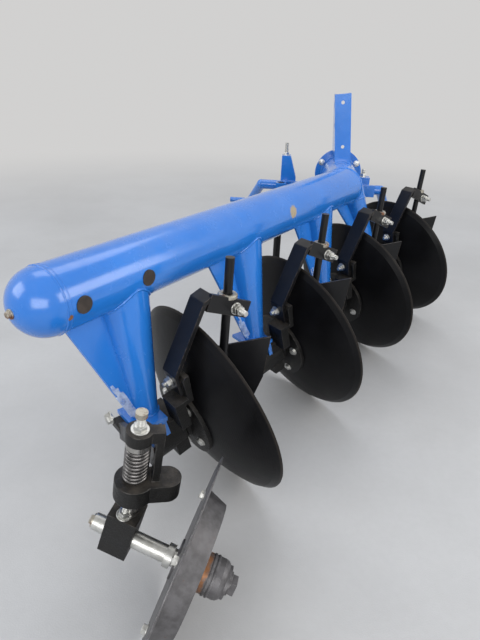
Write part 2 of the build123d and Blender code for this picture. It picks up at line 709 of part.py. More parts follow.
def build():
    beam_body = beam_outer()
    cross_body = cross_shaft()
    axle_body = tail_axle()
    clamp_body = axle_clamp(axle_body)
    spindle_body = spindle(clamp_body, axle_body)
    guide_body = spindle_guide(spindle_body)
    nodes = {
        "beam_tube": beam_body - beam_inner(),
        "rear_dome": rear_dome(),
        "front_flange": front_flange(),
        "mast": mast(beam_body),
        "hitch_plate": hitch_plate(),
        "stand_sleeve": stand_sleeve(),
        "stand_leg": stand_leg(),
        "cross_shaft": cross_body,
        "tail_arm": tail_arm(guide_body),
        "spindle_guide": guide_body,
        "spindle": spindle_body,
        "spring_screw": spring_screw(),
        "spring_seat": spring_seat(),
        "tail_spring": tail_spring(),
        "tail_axle": axle_body,
        "axle_clamp": clamp_body,
        "furrow_blade": furrow_blade(),
        "wheel_rim": wheel_rim(),
        "wheel_hub": wheel_hub(),
    }
    for row in SHAFT_CLAMPS:
        nodes[f"shaft_clamp_{row['name']}"] = shaft_clamp(row, cross_body)
    for number, plug in enumerate(beam_plugs(beam_body), start=1):
        nodes[f"beam_plug_{number}"] = plug
    for index in range(DISC_COUNT):
        number = index + 1
        nodes[f"hanger_{number}"] = hanger(index, beam_body)
        nodes[f"hub_carrier_{number}"] = hub_carrier(index)
        nodes[f"hub_flange_{number}"] = hub_flange(index)
        nodes[f"disc_{number}"] = disc_blade(index)
        nodes[f"scraper_arm_{number}"] = scraper_arm(index)
        nodes[f"scraper_{number}"] = scraper(index)
    return nodes


NODES = build()
BOX = Compound([solid for shape in NODES.values() for solid in shape.solids()]).bounding_box()
CENTRING = Vector(-BOX.center().X, -BOX.center().Y, -BOX.min.Z)

for name, shape in NODES.items():
    export_step(Pos(*CENTRING) * Compound(shape.solids()), f"parts/{name}.step")
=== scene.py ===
from math import cos, pi, radians, sin, sqrt, tau
from random import Random

import bmesh
import bpy
from mathutils import Matrix, Vector, noise


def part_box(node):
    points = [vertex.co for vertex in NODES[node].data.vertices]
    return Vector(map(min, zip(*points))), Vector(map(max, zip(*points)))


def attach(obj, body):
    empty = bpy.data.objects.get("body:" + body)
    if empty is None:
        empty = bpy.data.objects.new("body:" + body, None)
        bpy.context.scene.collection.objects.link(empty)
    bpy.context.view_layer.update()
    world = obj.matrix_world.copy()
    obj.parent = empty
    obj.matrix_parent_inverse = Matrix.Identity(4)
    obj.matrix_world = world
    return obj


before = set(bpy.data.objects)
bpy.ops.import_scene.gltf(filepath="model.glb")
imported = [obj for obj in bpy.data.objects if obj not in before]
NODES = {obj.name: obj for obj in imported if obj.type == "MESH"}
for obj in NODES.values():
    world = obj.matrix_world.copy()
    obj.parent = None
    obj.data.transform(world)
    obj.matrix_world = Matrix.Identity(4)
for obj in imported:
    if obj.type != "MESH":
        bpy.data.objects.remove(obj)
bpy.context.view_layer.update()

# Sizes and places, in metres: X right, Y along the travel, Z up from the floor.
# Places on the row are measured from the ground point below the rear disc.
CENTRING = Vector((-0.314963, -0.468739, 0.0))
DISC_COUNT = 4
DISC_RADIUS = 0.330
BOWL_RADIUS = 0.620
DISC_THICKNESS = 0.006
DISC_SPACING = 0.552
DISC_ANGLE = radians(45)
DISC_TILT = radians(15)
DISC_HEIGHT = 0.31914
BEAM_ANGLE = radians(29)
BEAM_RADIUS = 0.084
BEAM_SIDE = -0.150
BEAM_HEIGHT = 0.762
BEAM_REAR = -0.410
BEAM_ELBOW = 1.180
STUB_LENGTH = 0.334
FLANGE_THICKNESS = 0.016
BASE_TOP = 0.376
TAIL_TOE = radians(8)
TAIL_LEAN = radians(17.5)
TAIL_CENTRE = Vector((-0.30396, -0.97473, 0.23682))
SPINDLE_ACROSS = -0.1275
SPINDLE_LEAN = radians(9)
# Troughs of the hangers, from their own disc: side, along and radius of the foot
TROUGH_FOOT = (-0.068, -0.211, 0.038)
# Side and along of each trough's top
TROUGH_TOPS = ((-0.150, -0.198), (-0.150, -0.208), (-0.150, -0.208), (-0.187, -0.347))
TROUGH_TOP_RADIUS = 0.080
TROUGH_TOP_HEIGHT = 0.745
FRAME_BODY = "plough_frame"
WHEEL_BODY = "tail_wheel"

# Frames that the small pieces are placed in
AHEAD = Vector((0, 1, 0))
UP = Vector((0, 0, 1))
BEAM_AIM = Vector((sin(BEAM_ANGLE), cos(BEAM_ANGLE), 0))
BEAM_RIGHT = Vector((cos(BEAM_ANGLE), -sin(BEAM_ANGLE), 0))
DISC_SIDE = Vector((cos(DISC_ANGLE), -sin(DISC_ANGLE), 0))
DISC_HEADING = Vector((sin(DISC_ANGLE), cos(DISC_ANGLE), 0))
DISC_AXIS = DISC_HEADING * cos(DISC_TILT) + UP * sin(DISC_TILT)
TAIL_RIGHT = Vector((cos(TAIL_TOE), -sin(TAIL_TOE), 0))
TAIL_AXLE = TAIL_RIGHT * cos(TAIL_LEAN) - UP * sin(TAIL_LEAN)
TAIL_UP = TAIL_RIGHT * sin(TAIL_LEAN) + UP * cos(TAIL_LEAN)


def frame_at(origin, across, up_way):
    """Matrix of a frame whose X runs across and whose Z runs up_way."""
    z = Vector(up_way).normalized()
    x = (Vector(across) - z * Vector(across).dot(z)).normalized()
    y = z.cross(x)
    turn = Matrix((x, y, z)).transposed().to_4x4()
    return Matrix.Translation(origin) @ turn


def row_point(side, along, height):
    """Point by its side and place along the beam, from below the rear disc, and its height."""
    return CENTRING + BEAM_RIGHT * side + BEAM_AIM * along + UP * height


def disc_along(number):
    return (number - 1) * DISC_SPACING


def disc_frame(number):
    """Frame of a disc: X left and Y up along its face, Z forward along its axis."""
    centre = row_point(0, disc_along(number), DISC_HEIGHT)
    return frame_at(centre, -DISC_SIDE, DISC_AXIS)


AXLE_FRAME = frame_at(TAIL_CENTRE, TAIL_AXLE, TAIL_UP)
SPINDLE_UP = TAIL_RIGHT * sin(SPINDLE_LEAN) + UP * cos(SPINDLE_LEAN)
SPINDLE_FRAME = frame_at(TAIL_CENTRE + TAIL_AXLE * SPINDLE_ACROSS, TAIL_RIGHT, SPINDLE_UP)
SPIN_FRAME = frame_at(TAIL_CENTRE, TAIL_UP, TAIL_AXLE)
ELBOW = row_point(BEAM_SIDE, BEAM_ELBOW, BEAM_HEIGHT)
STUB_END = ELBOW + AHEAD * STUB_LENGTH
FLANGE_FACE = STUB_END + AHEAD * FLANGE_THICKNESS


def seat(frame_matrix, point, way, turn=0.0):
    """Place of a fastener: foot at a point of a frame, Z along a direction of that frame."""
    direction = Vector(way).normalized()
    spin = direction.to_track_quat("Z", "Y").to_matrix().to_4x4()
    return frame_matrix @ Matrix.Translation(point) @ spin @ Matrix.Rotation(turn, 4, "Z")


ROW = Matrix.Identity(4)


# Colours: red, green, blue and alpha
RUST_DARK = (0.05, 0.018, 0.008, 1)
RUST_LIGHT = (0.23, 0.09, 0.035, 1)
SEAM_BROWN = (0.2, 0.09, 0.035, 1)
ROOT_BROWN = (0.27, 0.12, 0.05, 1)
LABEL_TAN = (0.34, 0.27, 0.17, 1)
PAINT_DUST = (0.42, 0.38, 0.33, 1)
CAST_DUST = (0.24, 0.20, 0.16, 1)
DISC_DUST = (0.33, 0.29, 0.25, 1)
CAST_EDGE = (0.16, 0.15, 0.14, 1)
METAL_EDGE = (0.66, 0.65, 0.63, 1)
DISC_LIGHT = (0.006, 0.006, 0.007, 1)
DISC_DARK = (0.003, 0.003, 0.0035, 1)
# Ground steel along a disc's rim, lighter than the paint, and also a painted highlight of the rim
# edge
GROUND_RIM_AND_SHEEN = (0.026, 0.022, 0.019, 1)
SCUFF = (0.2, 0.19, 0.18, 1)
FLOOR_LIGHT = (0.50, 0.49, 0.48, 1)
FLOOR_DARK = (0.43, 0.42, 0.41, 1)
FLOOR_SPECK = (0.36, 0.35, 0.34, 1)
SKY_LOW = (1.0, 0.99, 0.97, 1)
SKY_HIGH = (0.78, 0.85, 0.95, 1)
BACKDROP = (0.64, 0.635, 0.63, 1)

# Shaders
BEVEL_SAMPLES = 6
COAT_ROUGHNESS = 0.12
# Sockets of a colour mix: factor and the two colours, and its result
MIX_INPUTS = (0, 6, 7)
MIX_RESULT = 2
# Rusty ring on the tail wheel's hub: radius, and its two ends along the axle
ROOT_RADIUS = 0.045
ROOT_LOW = 0.045
ROOT_HIGH = 0.068
# Ground band along a disc's rim, lighter in colour as a painted highlight of the rim edge as well,
# its turned rings in radians per metre, and its scratches
GROUND_AND_SHEEN_BAND = 0.006
TURNED_RINGS = 900.0
SCRATCH_STRETCH = (60, 3, 3)


# Shader node groups
def new_group(name, inputs, outputs):
    group = bpy.data.node_groups.new(name, "ShaderNodeTree")
    for label, kind, value in inputs:
        socket = group.interface.new_socket(name=label, in_out="INPUT", socket_type=kind)
        socket.default_value = value
    for label, kind in outputs:
        group.interface.new_socket(name=label, in_out="OUTPUT", socket_type=kind)
    start = group.nodes.new("NodeGroupInput")
    end = group.nodes.new("NodeGroupOutput")
    return group, start, end


def add(tree, kind, settings=None, **values):
    """New node in a tree, with its settings and the values of its named sockets."""
    node = tree.nodes.new(kind)
    for key, value in (settings or {}).items():
        setattr(node, key, value)
    for key, value in values.items():
        node.inputs[key.replace("_", " ")].default_value = value
    return node


def feed(tree, socket, value):
    """Sets a socket to a value, or links it to another socket."""
    if isinstance(value, bpy.types.NodeSocket):
        tree.links.new(value, socket)
    else:
        socket.default_value = value


def math_node(tree, operation, first, second, clamp=False):
    node = add(tree, "ShaderNodeMath", {"operation": operation, "use_clamp": clamp})
    feed(tree, node.inputs[0], first)
    feed(tree, node.inputs[1], second)
    return node.outputs[0]


def mix_colour(tree, factor, first, second):
    node = add(tree, "ShaderNodeMix", {"data_type": "RGBA"})
    for index, value in zip(MIX_INPUTS, (factor, first, second)):
        feed(tree, node.inputs[index], value)
    return node.outputs[MIX_RESULT]


def noise_value(tree, scale, detail, rough):
    """Noise over the object's own coordinates."""
    node = add(tree, "ShaderNodeTexNoise", Detail=detail, Roughness=rough)
    feed(tree, node.inputs["Scale"], scale)
    place = add(tree, "ShaderNodeTexCoord").outputs["Object"]
    tree.links.new(place, node.inputs["Vector"])
    return node.outputs["Fac"]


def ramp_value(tree, value, low, high):
    """Smooth step from 0 at low to 1 at high. Low may be the greater of the two."""
    node = add(tree, "ShaderNodeMapRange", {"interpolation_type": "SMOOTHSTEP"})
    tree.links.new(value, node.inputs["Value"])
    feed(tree, node.inputs["From Min"], low)
    feed(tree, node.inputs["From Max"], high)
    return node.outputs["Result"]


def build_edge_rub():
    """Mask that is 1 on worn outer edges, broken up by noise."""
    tree, start, end = new_group(
        "edge_rub",
        [("Width", "NodeSocketFloat", 0.002), ("Break Up", "NodeSocketFloat", 60.0)],
        [("Mask", "NodeSocketFloat")],
    )
    rounded = add(tree, "ShaderNodeBevel", {"samples": BEVEL_SAMPLES})
    tree.links.new(start.outputs["Width"], rounded.inputs["Radius"])
    plain = add(tree, "ShaderNodeNewGeometry")
    dot = add(tree, "ShaderNodeVectorMath", {"operation": "DOT_PRODUCT"})
    tree.links.new(rounded.outputs["Normal"], dot.inputs[0])
    tree.links.new(plain.outputs["Normal"], dot.inputs[1])
    edge = ramp_value(tree, dot.outputs["Value"], 0.995, 0.86)
    specks = noise_value(tree, start.outputs["Break Up"], 5.0, 0.7)
    broken = ramp_value(tree, specks, 0.42, 0.62)
    tree.links.new(math_node(tree, "MULTIPLY", edge, broken, True), end.inputs["Mask"])
    return tree


def build_dust_film():
    """Mask of dust that lies on faces that look up."""
    tree, start, end = new_group(
        "dust_film",
        [("Amount", "NodeSocketFloat", 0.5), ("Scale", "NodeSocketFloat", 14.0)],
        [("Mask", "NodeSocketFloat")],
    )
    geometry = add(tree, "ShaderNodeNewGeometry")
    parts = add(tree, "ShaderNodeSeparateXYZ")
    tree.links.new(geometry.outputs["Normal"], parts.inputs[0])
    upward = ramp_value(tree, parts.outputs["Z"], 0.15, 1.0)
    broad = ramp_value(tree, noise_value(tree, start.outputs["Scale"], 6.0, 0.65), 0.3, 0.75)
    dusty = math_node(tree, "MULTIPLY", upward, broad)
    mask = math_node(tree, "MULTIPLY", dusty, start.outputs["Amount"], True)
    tree.links.new(mask, end.inputs["Mask"])
    return tree


def build_drift():
    """Slow change between two colours over the surface."""
    tree, start, end = new_group(
        "colour_drift",
        [
            ("Light", "NodeSocketColor", (0.5, 0.5, 0.5, 1)),
            ("Dark", "NodeSocketColor", (0.4, 0.4, 0.4, 1)),
            ("Scale", "NodeSocketFloat", 6.0),
        ],
        [("Color", "NodeSocketColor"), ("Value", "NodeSocketFloat")],
    )
    value = ramp_value(tree, noise_value(tree, start.outputs["Scale"], 5.0, 0.6), 0.3, 0.7)
    colour = mix_colour(tree, value, start.outputs["Dark"], start.outputs["Light"])
    tree.links.new(colour, end.inputs["Color"])
    tree.links.new(value, end.inputs["Value"])
    return tree


def build_grain():
    """Height of a fine grain with a coarser swell below it."""
    tree, start, end = new_group(
        "surface_grain",
        [
            ("Fine", "NodeSocketFloat", 500.0),
            ("Coarse", "NodeSocketFloat", 60.0),
            ("Share", "NodeSocketFloat", 0.4),
        ],
        [("Height", "NodeSocketFloat")],
    )
    fine = noise_value(tree, start.outputs["Fine"], 3.0, 0.6)
    coarse = noise_value(tree, start.outputs["Coarse"], 3.0, 0.5)
    part = math_node(tree, "MULTIPLY", coarse, start.outputs["Share"])
    tree.links.new(math_node(tree, "ADD", fine, part), end.inputs["Height"])
    return tree


def build_rust():
    """Patches and specks of brown rust."""
    tree, start, end = new_group(
        "rust_patches",
        [("Scale", "NodeSocketFloat", 20.0), ("Threshold", "NodeSocketFloat", 0.55)],
        [("Mask", "NodeSocketFloat"), ("Color", "NodeSocketColor")],
    )
    high = math_node(tree, "ADD", start.outputs["Threshold"], 0.12)
    spread = noise_value(tree, start.outputs["Scale"], 8.0, 0.7)
    patch = ramp_value(tree, spread, start.outputs["Threshold"], high)
    shade = noise_value(tree, 90.0, 4.0, 0.6)
    colour = mix_colour(tree, shade, RUST_DARK, RUST_LIGHT)
    tree.links.new(patch, end.inputs["Mask"])
    tree.links.new(colour, end.inputs["Color"])
    return tree


def build_spot():
    """Mask of a ragged spot round a point of the object."""
    tree, start, end = new_group(
        "ragged_spot",
        [
            ("Centre", "NodeSocketVector", (0, 0, 0)),
            ("Radius", "NodeSocketFloat", 0.02),
            ("Break Up", "NodeSocketFloat", 120.0),
        ],
        [("Mask", "NodeSocketFloat")],
    )
    place = add(tree, "ShaderNodeTexCoord").outputs["Object"]
    gap = add(tree, "ShaderNodeVectorMath", {"operation": "DISTANCE"})
    tree.links.new(place, gap.inputs[0])
    tree.links.new(start.outputs["Centre"], gap.inputs[1])
    share = math_node(tree, "DIVIDE", gap.outputs["Value"], start.outputs["Radius"])
    ragged = math_node(tree, "ADD", share, noise_value(tree, start.outputs["Break Up"], 4.0, 0.7))
    tree.links.new(ramp_value(tree, ragged, 1.5, 1.2), end.inputs["Mask"])
    return tree


EDGE_RUB = build_edge_rub()
DUST_FILM = build_dust_film()
DRIFT = build_drift()
GRAIN = build_grain()
RUST = build_rust()
SPOT = build_spot()


def placed(tree, group, **values):
    node = tree.nodes.new("ShaderNodeGroup")
    node.node_tree = group
    for key, value in values.items():
        node.inputs[key.replace("_", " ")].default_value = value
    return node


# Finishes
def finish(name):
    material = bpy.data.materials.new(name)
    material.use_nodes = True
    tree = material.node_tree
    return material, tree, tree.nodes["Principled BSDF"]


def bump(tree, shader, height, depth, rounding=0.0015):
    """Relief of a real depth in metres, over edges that the light sees as rounded."""
    node = add(tree, "ShaderNodeBump", Strength=1.0, Distance=depth)
    edge = add(tree, "ShaderNodeBevel", {"samples": BEVEL_SAMPLES}, Radius=rounding)
    tree.links.new(edge.outputs["Normal"], node.inputs["Normal"])
    tree.links.new(height, node.inputs["Height"])
    tree.links.new(node.outputs["Normal"], shader.inputs["Normal"])


def vary_roughness(tree, shader, drift, rough, share):
    """Roughness that rises from rough by a share of a drift's value."""
    spread = math_node(tree, "MULTIPLY", drift.outputs["Value"], share)
    tree.links.new(math_node(tree, "ADD", spread, rough, True), shader.inputs["Roughness"])


def painted(
    name, light, dark, rough, coat, dust, edge_colour, edge_share, depth, spots=(), shine=0.5
):
    """Paint with rubbed edges, dust and smudges. Each spot is a centre, a radius and a colour."""
    material, tree, shader = finish(name)
    drift = placed(tree, DRIFT, Light=light, Dark=dark, Scale=3.0)
    colour = drift.outputs["Color"]
    for centre, radius, tint in spots:
        spot = placed(tree, SPOT, Centre=centre, Radius=radius)
        colour = mix_colour(tree, spot.outputs["Mask"], colour, tint)
    rub = placed(tree, EDGE_RUB, Width=0.0022, Break_Up=90.0)
    worn = math_node(tree, "MULTIPLY", rub.outputs["Mask"], edge_share)
    colour = mix_colour(tree, worn, colour, edge_colour)
    film = placed(tree, DUST_FILM, Amount=dust, Scale=9.0)
    colour = mix_colour(tree, film.outputs["Mask"], colour, PAINT_DUST)
    tree.links.new(colour, shader.inputs["Base Color"])
    smudge = ramp_value(tree, noise_value(tree, 22.0, 6.0, 0.7), 0.35, 0.75)
    spread = math_node(tree, "MULTIPLY", smudge, 0.14)
    dulled = math_node(tree, "MULTIPLY", film.outputs["Mask"], 0.5)
    roughness = math_node(tree, "ADD", math_node(tree, "ADD", spread, rough), dulled, True)
    tree.links.new(roughness, shader.inputs["Roughness"])
    shader.inputs["Specular IOR Level"].default_value = shine
    shader.inputs["Coat Weight"].default_value = coat
    shader.inputs["Coat Roughness"].default_value = COAT_ROUGHNESS
    grain = placed(tree, GRAIN, Fine=420.0, Coarse=35.0, Share=1.2)
    bump(tree, shader, grain.outputs["Height"], depth)
    return material


def cast_iron(name, light, dark, rough):
    material, tree, shader = finish(name)
    drift = placed(tree, DRIFT, Light=light, Dark=dark, Scale=16.0)
    rub = placed(tree, EDGE_RUB, Width=0.003, Break_Up=70.0)
    worn = math_node(tree, "MULTIPLY", rub.outputs["Mask"], 0.55)
    colour = mix_colour(tree, worn, drift.outputs["Color"], CAST_EDGE)
    film = placed(tree, DUST_FILM, Amount=0.22, Scale=22.0)
    colour = mix_colour(tree, film.outputs["Mask"], colour, CAST_DUST)
    tree.links.new(colour, shader.inputs["Base Color"])
    shader.inputs["Specular IOR Level"].default_value = 0.3
    vary_roughness(tree, shader, drift, rough, 0.2)
    grain = placed(tree, GRAIN, Fine=620.0, Coarse=130.0, Share=1.1)
    bump(tree, shader, grain.outputs["Height"], 0.0009, 0.003)
    return material


def centred_place(tree, place):
    """Object coordinates, centred on and turned to a frame."""
    node = add(tree, "ShaderNodeMapping", {"vector_type": "TEXTURE"})
    node.inputs["Location"].default_value = place.to_translation()
    node.inputs["Rotation"].default_value = place.to_euler("XYZ")
    tree.links.new(add(tree, "ShaderNodeTexCoord").outputs["Object"], node.inputs["Vector"])
    return node.outputs["Vector"]


def distance_out(tree, vector):
    """Distance from the Z axis of a frame."""
    flat = add(tree, "ShaderNodeVectorMath", {"operation": "MULTIPLY"})
    flat.inputs[1].default_value = (1, 1, 0)
    tree.links.new(vector, flat.inputs[0])
    length = add(tree, "ShaderNodeVectorMath", {"operation": "LENGTH"})
    tree.links.new(flat.outputs["Vector"], length.inputs[0])
    return length.outputs["Value"]


def hub_root_rust(tree):
    """Mask of the rusty ring where the tail wheel's hub leaves the rim."""
    place = centred_place(tree, SPIN_FRAME)
    parts = add(tree, "ShaderNodeSeparateXYZ")
    tree.links.new(place, parts.inputs[0])
    waver = math_node(tree, "MULTIPLY", noise_value(tree, 70.0, 4.0, 0.6), 0.012)
    along = math_node(tree, "SUBTRACT", parts.outputs["Z"], waver)
    below = ramp_value(tree, along, ROOT_HIGH, ROOT_HIGH - 0.006)
    above = ramp_value(tree, along, ROOT_LOW - 0.01, ROOT_LOW)
    ring = math_node(tree, "MULTIPLY", below, above)
    out = distance_out(tree, place)
    near = ramp_value(tree, out, ROOT_RADIUS + 0.012, ROOT_RADIUS + 0.004)
    worn = ramp_value(tree, noise_value(tree, 60.0, 6.0, 0.7), 0.3, 0.62)
    return math_node(tree, "MULTIPLY", math_node(tree, "MULTIPLY", ring, near), worn)


def metal(name, light, dark, rough, rust, metallic=1.0, depth=0.00012, rusty_root=False):
    """Bare or plated metal with rubbed edges. Rust is the noise level above which it shows."""
    material, tree, shader = finish(name)
    drift = placed(tree, DRIFT, Light=light, Dark=dark, Scale=45.0)
    patch = placed(tree, RUST, Scale=34.0, Threshold=rust)
    colour = mix_colour(tree, patch.outputs["Mask"], drift.outputs["Color"], patch.outputs["Color"])
    if rusty_root:
        colour = mix_colour(tree, hub_root_rust(tree), colour, ROOT_BROWN)
    rub = placed(tree, EDGE_RUB, Width=0.0012, Break_Up=140.0)
    bright = math_node(tree, "MULTIPLY", rub.outputs["Mask"], 0.5)
    colour = mix_colour(tree, bright, colour, METAL_EDGE)
    tree.links.new(colour, shader.inputs["Base Color"])
    clean = math_node(tree, "SUBTRACT", 1.0, patch.outputs["Mask"])
    tree.links.new(math_node(tree, "MULTIPLY", clean, metallic, True), shader.inputs["Metallic"])
    spread = math_node(tree, "MULTIPLY", drift.outputs["Value"], 0.14)
    base = math_node(tree, "ADD", spread, rough)
    dull = math_node(tree, "MULTIPLY", patch.outputs["Mask"], 0.4)
    tree.links.new(math_node(tree, "ADD", base, dull, True), shader.inputs["Roughness"])
    grain = placed(tree, GRAIN, Fine=700.0, Coarse=180.0, Share=0.7)
    bump(tree, shader, grain.outputs["Height"], depth, 0.0008)
    return material


def disc_paint(number):
    """Satin black over the bowl, with a ground band along the rim, whose lighter colour is also a
    painted highlight of the rim edge, and faint turned rings.
    """
    material, tree, shader = finish(f"disc_satin_{number}")
    centred = centred_place(tree, disc_frame(number))
    out = distance_out(tree, centred)
    drift = placed(tree, DRIFT, Light=DISC_LIGHT, Dark=DISC_DARK, Scale=5.0)
    # Band along the rim: ground steel, its lighter colour also a painted highlight of the rim edge
    rim = ramp_value(tree, out, DISC_RADIUS - GROUND_AND_SHEEN_BAND, DISC_RADIUS - GROUND_AND_SHEEN_BAND / 2)
    broken = ramp_value(tree, noise_value(tree, 55.0, 6.0, 0.7), 0.25, 0.6)
    worn = math_node(tree, "ADD", math_node(tree, "MULTIPLY", broken, 0.45), 0.5)
    bare_and_sheen = math_node(tree, "MULTIPLY", rim, worn)
    colour = mix_colour(tree, bare_and_sheen, drift.outputs["Color"], GROUND_RIM_AND_SHEEN)
    film = placed(tree, DUST_FILM, Amount=0.03, Scale=6.0)
    colour = mix_colour(tree, film.outputs["Mask"], colour, DISC_DUST)
    scratches = add(tree, "ShaderNodeTexNoise", Scale=3.0, Detail=8.0, Roughness=0.75)
    stretched = add(tree, "ShaderNodeMapping")
    stretched.inputs["Scale"].default_value = SCRATCH_STRETCH
    tree.links.new(centred, stretched.inputs["Vector"])
    tree.links.new(stretched.outputs["Vector"], scratches.inputs["Vector"])
    scuffed = ramp_value(tree, scratches.outputs["Fac"], 0.66, 0.74)
    faint = math_node(tree, "MULTIPLY", scuffed, 0.12)
    colour = mix_colour(tree, faint, colour, SCUFF)
    tree.links.new(colour, shader.inputs["Base Color"])
    shader.inputs["Specular IOR Level"].default_value = 0.13
    vary_roughness(tree, shader, drift, 0.33, 0.1)
    rings = add(tree, "ShaderNodeMath", {"operation": "SINE"})
    tree.links.new(math_node(tree, "MULTIPLY", out, TURNED_RINGS), rings.inputs[0])
    grain = placed(tree, GRAIN, Fine=380.0, Coarse=30.0, Share=1.5)
    turned = math_node(tree, "MULTIPLY", rings.outputs[0], 0.18)
    height = math_node(tree, "ADD", turned, grain.outputs["Height"])
    bump(tree, shader, height, 0.00022, 0.0006)
    return material


def plain_rubber(name, light, dark):
    material, tree, shader = finish(name)
    drift = placed(tree, DRIFT, Light=light, Dark=dark, Scale=60.0)
    tree.links.new(drift.outputs["Color"], shader.inputs["Base Color"])
    vary_roughness(tree, shader, drift, 0.6, 0.15)
    grain = placed(tree, GRAIN, Fine=900.0, Coarse=200.0, Share=0.6)
    bump(tree, shader, grain.outputs["Height"], 0.0002, 0.001)
    return material


def see_through(material):
    """Lets light through a finish, in streaks."""
    tree = material.node_tree
    streaks = ramp_value(tree, noise_value(tree, 38.0, 3.0, 0.5), 0.3, 0.7)
    clear = math_node(tree, "ADD", math_node(tree, "MULTIPLY", streaks, 0.45), 0.3, True)
    tree.links.new(clear, tree.nodes["Principled BSDF"].inputs["Alpha"])


# Rust at the dome's seam, and what is left of a label on the tube's right
SEAM_RUST = tuple(row_point(BEAM_SIDE + 0.082, BEAM_REAR + 0.005, BEAM_HEIGHT - 0.019))
SEAM_RUST_RADIUS = 0.008
LABEL_REST = tuple(row_point(BEAM_SIDE + 0.081, 0.575, BEAM_HEIGHT + 0.019))
LABEL_REST_RADIUS = 0.026

BLUE = painted(
    "blue_gloss",
    light=(0.018, 0.172, 0.58, 1),
    dark=(0.013, 0.145, 0.51, 1),
    rough=0.17,
    coat=0.6,
    dust=0.08,
    edge_colour=(0.10, 0.32, 0.82, 1),
    edge_share=0.5,
    depth=0.00016,
    spots=((SEAM_RUST, SEAM_RUST_RADIUS, SEAM_BROWN), (LABEL_REST, LABEL_REST_RADIUS, LABEL_TAN)),
)
BLACK = painted(
    "black_semi_gloss",
    light=(0.008, 0.008, 0.009, 1),
    dark=(0.004, 0.004, 0.005, 1),
    rough=0.3,
    coat=0.1,
    dust=0.07,
    edge_colour=(0.17, 0.13, 0.10, 1),
    edge_share=0.8,
    depth=0.0002,
    shine=0.22,
)
CAST = cast_iron(
    "black_casting", light=(0.010, 0.0095, 0.009, 1), dark=(0.004, 0.004, 0.004, 1), rough=0.34
)
DARK_STEEL = metal(
    "dark_rolled_steel",
    light=(0.15, 0.145, 0.15, 1),
    dark=(0.09, 0.086, 0.088, 1),
    rough=0.42,
    rust=0.63,
    metallic=0.6,
    depth=0.0002,
    rusty_root=True,
)
ZINC = metal(
    "bright_zinc", light=(0.68, 0.68, 0.66, 1), dark=(0.50, 0.50, 0.47, 1), rough=0.30, rust=0.74
)
TARNISHED = metal(
    "tarnished_zinc", light=(0.52, 0.50, 0.44, 1), dark=(0.36, 0.33, 0.27, 1), rough=0.34, rust=0.52
)
BRIGHT = metal(
    "turned_steel", light=(0.56, 0.55, 0.53, 1), dark=(0.36, 0.35, 0.33, 1), rough=0.22, rust=0.68
)
SPRING = metal(
    "oiled_spring_steel",
    light=(0.22, 0.21, 0.205, 1),
    dark=(0.08, 0.077, 0.075, 1),
    rough=0.22,
    rust=0.76,
    metallic=0.9,
)
RUBBER = plain_rubber("brown_rubber", light=(0.045, 0.034, 0.027, 1), dark=(0.02, 0.014, 0.011, 1))
FILM = painted(
    "clear_wrap_film",
    light=(0.66, 0.72, 0.82, 1),
    dark=(0.34, 0.5, 0.82, 1),
    rough=0.1,
    coat=0.8,
    dust=0.05,
    edge_colour=(0.8, 0.82, 0.85, 1),
    edge_share=0.3,
    depth=0.0009,
)
see_through(FILM)
DISC_PAINTS = [disc_paint(number) for number in range(1, DISC_COUNT + 1)]

# Finishes of the nodes, by the start of their names. The guide is tried before the spindle
NODE_FINISHES = (
    (BLUE, ("beam_tube", "rear_dome", "front_flange", "mast", "hitch_plate", "hanger_")),
    (BLUE, ("stand_sleeve", "cross_shaft", "shaft_clamp_")),
    (BLACK, ("stand_leg", "tail_arm", "scraper_")),
    (CAST, ("hub_carrier_", "hub_flange_", "spindle_guide", "axle_clamp")),
    (BRIGHT, ("spring_seat", "spindle")),
    (TARNISHED, ("spring_screw",)),
    (SPRING, ("tail_spring",)),
    (ZINC, ("tail_axle",)),
    (DARK_STEEL, ("furrow_blade", "wheel_rim", "wheel_hub")),
    (RUBBER, ("beam_plug_",)),
)


def finish_nodes():
    for name, node in NODES.items():
        if name.startswith("disc_"):
            material = DISC_PAINTS[int(name[-1]) - 1]
        else:
            material = next(found for found, starts in NODE_FINISHES if name.startswith(starts))
        for holder in node.material_slots:
            holder.material = material


# Mesh making
TOLERANCE = 1e-6
CORNER_CUT = 0.0014
WASHER_EDGE = 0.0006
THREAD_PITCH = 0.0018
THREAD_CUT = 0.0009
THREAD_END = 0.001
RING_EDGE_SHARE = 0.22
BEAD_SIDES = 8
BEAD_RIPPLE = 0.16


def piece(name, bm, material, body, sharp=35.0):
    """Finished piece from a bmesh: merged, normals out, at the origin, riding on its body."""
    bmesh.ops.remove_doubles(bm, verts=bm.verts, dist=TOLERANCE)
    bmesh.ops.recalc_face_normals(bm, faces=bm.faces)
    mesh = bpy.data.meshes.new(name)
    bm.to_mesh(mesh)
    bm.free()
    mesh.polygons.foreach_set("use_smooth", [True] * len(mesh.polygons))
    mesh.set_sharp_from_angle(angle=radians(sharp))
    mesh.materials.append(material)
    shown = bpy.data.objects.new(name, mesh)
    bpy.context.scene.collection.objects.link(shown)
    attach(shown, body)


def turned_form(profile, steps=24, closed=False):
    """Round form: a line of radius and height pairs spun about Z."""
    bm = bmesh.new()
    verts = [bm.verts.new((radius, 0, height)) for radius, height in profile]
    edges = [bm.edges.new(pair) for pair in zip(verts, verts[1:])]
    if closed:
        edges.append(bm.edges.new((verts[-1], verts[0])))
    bmesh.ops.spin(
        bm, geom=verts + edges, cent=(0, 0, 0), axis=(0, 0, 1), dvec=(0, 0, 0),
        angle=tau, steps=steps, use_merge=True,
    )
    bmesh.ops.remove_doubles(bm, verts=bm.verts, dist=TOLERANCE)
    return bm


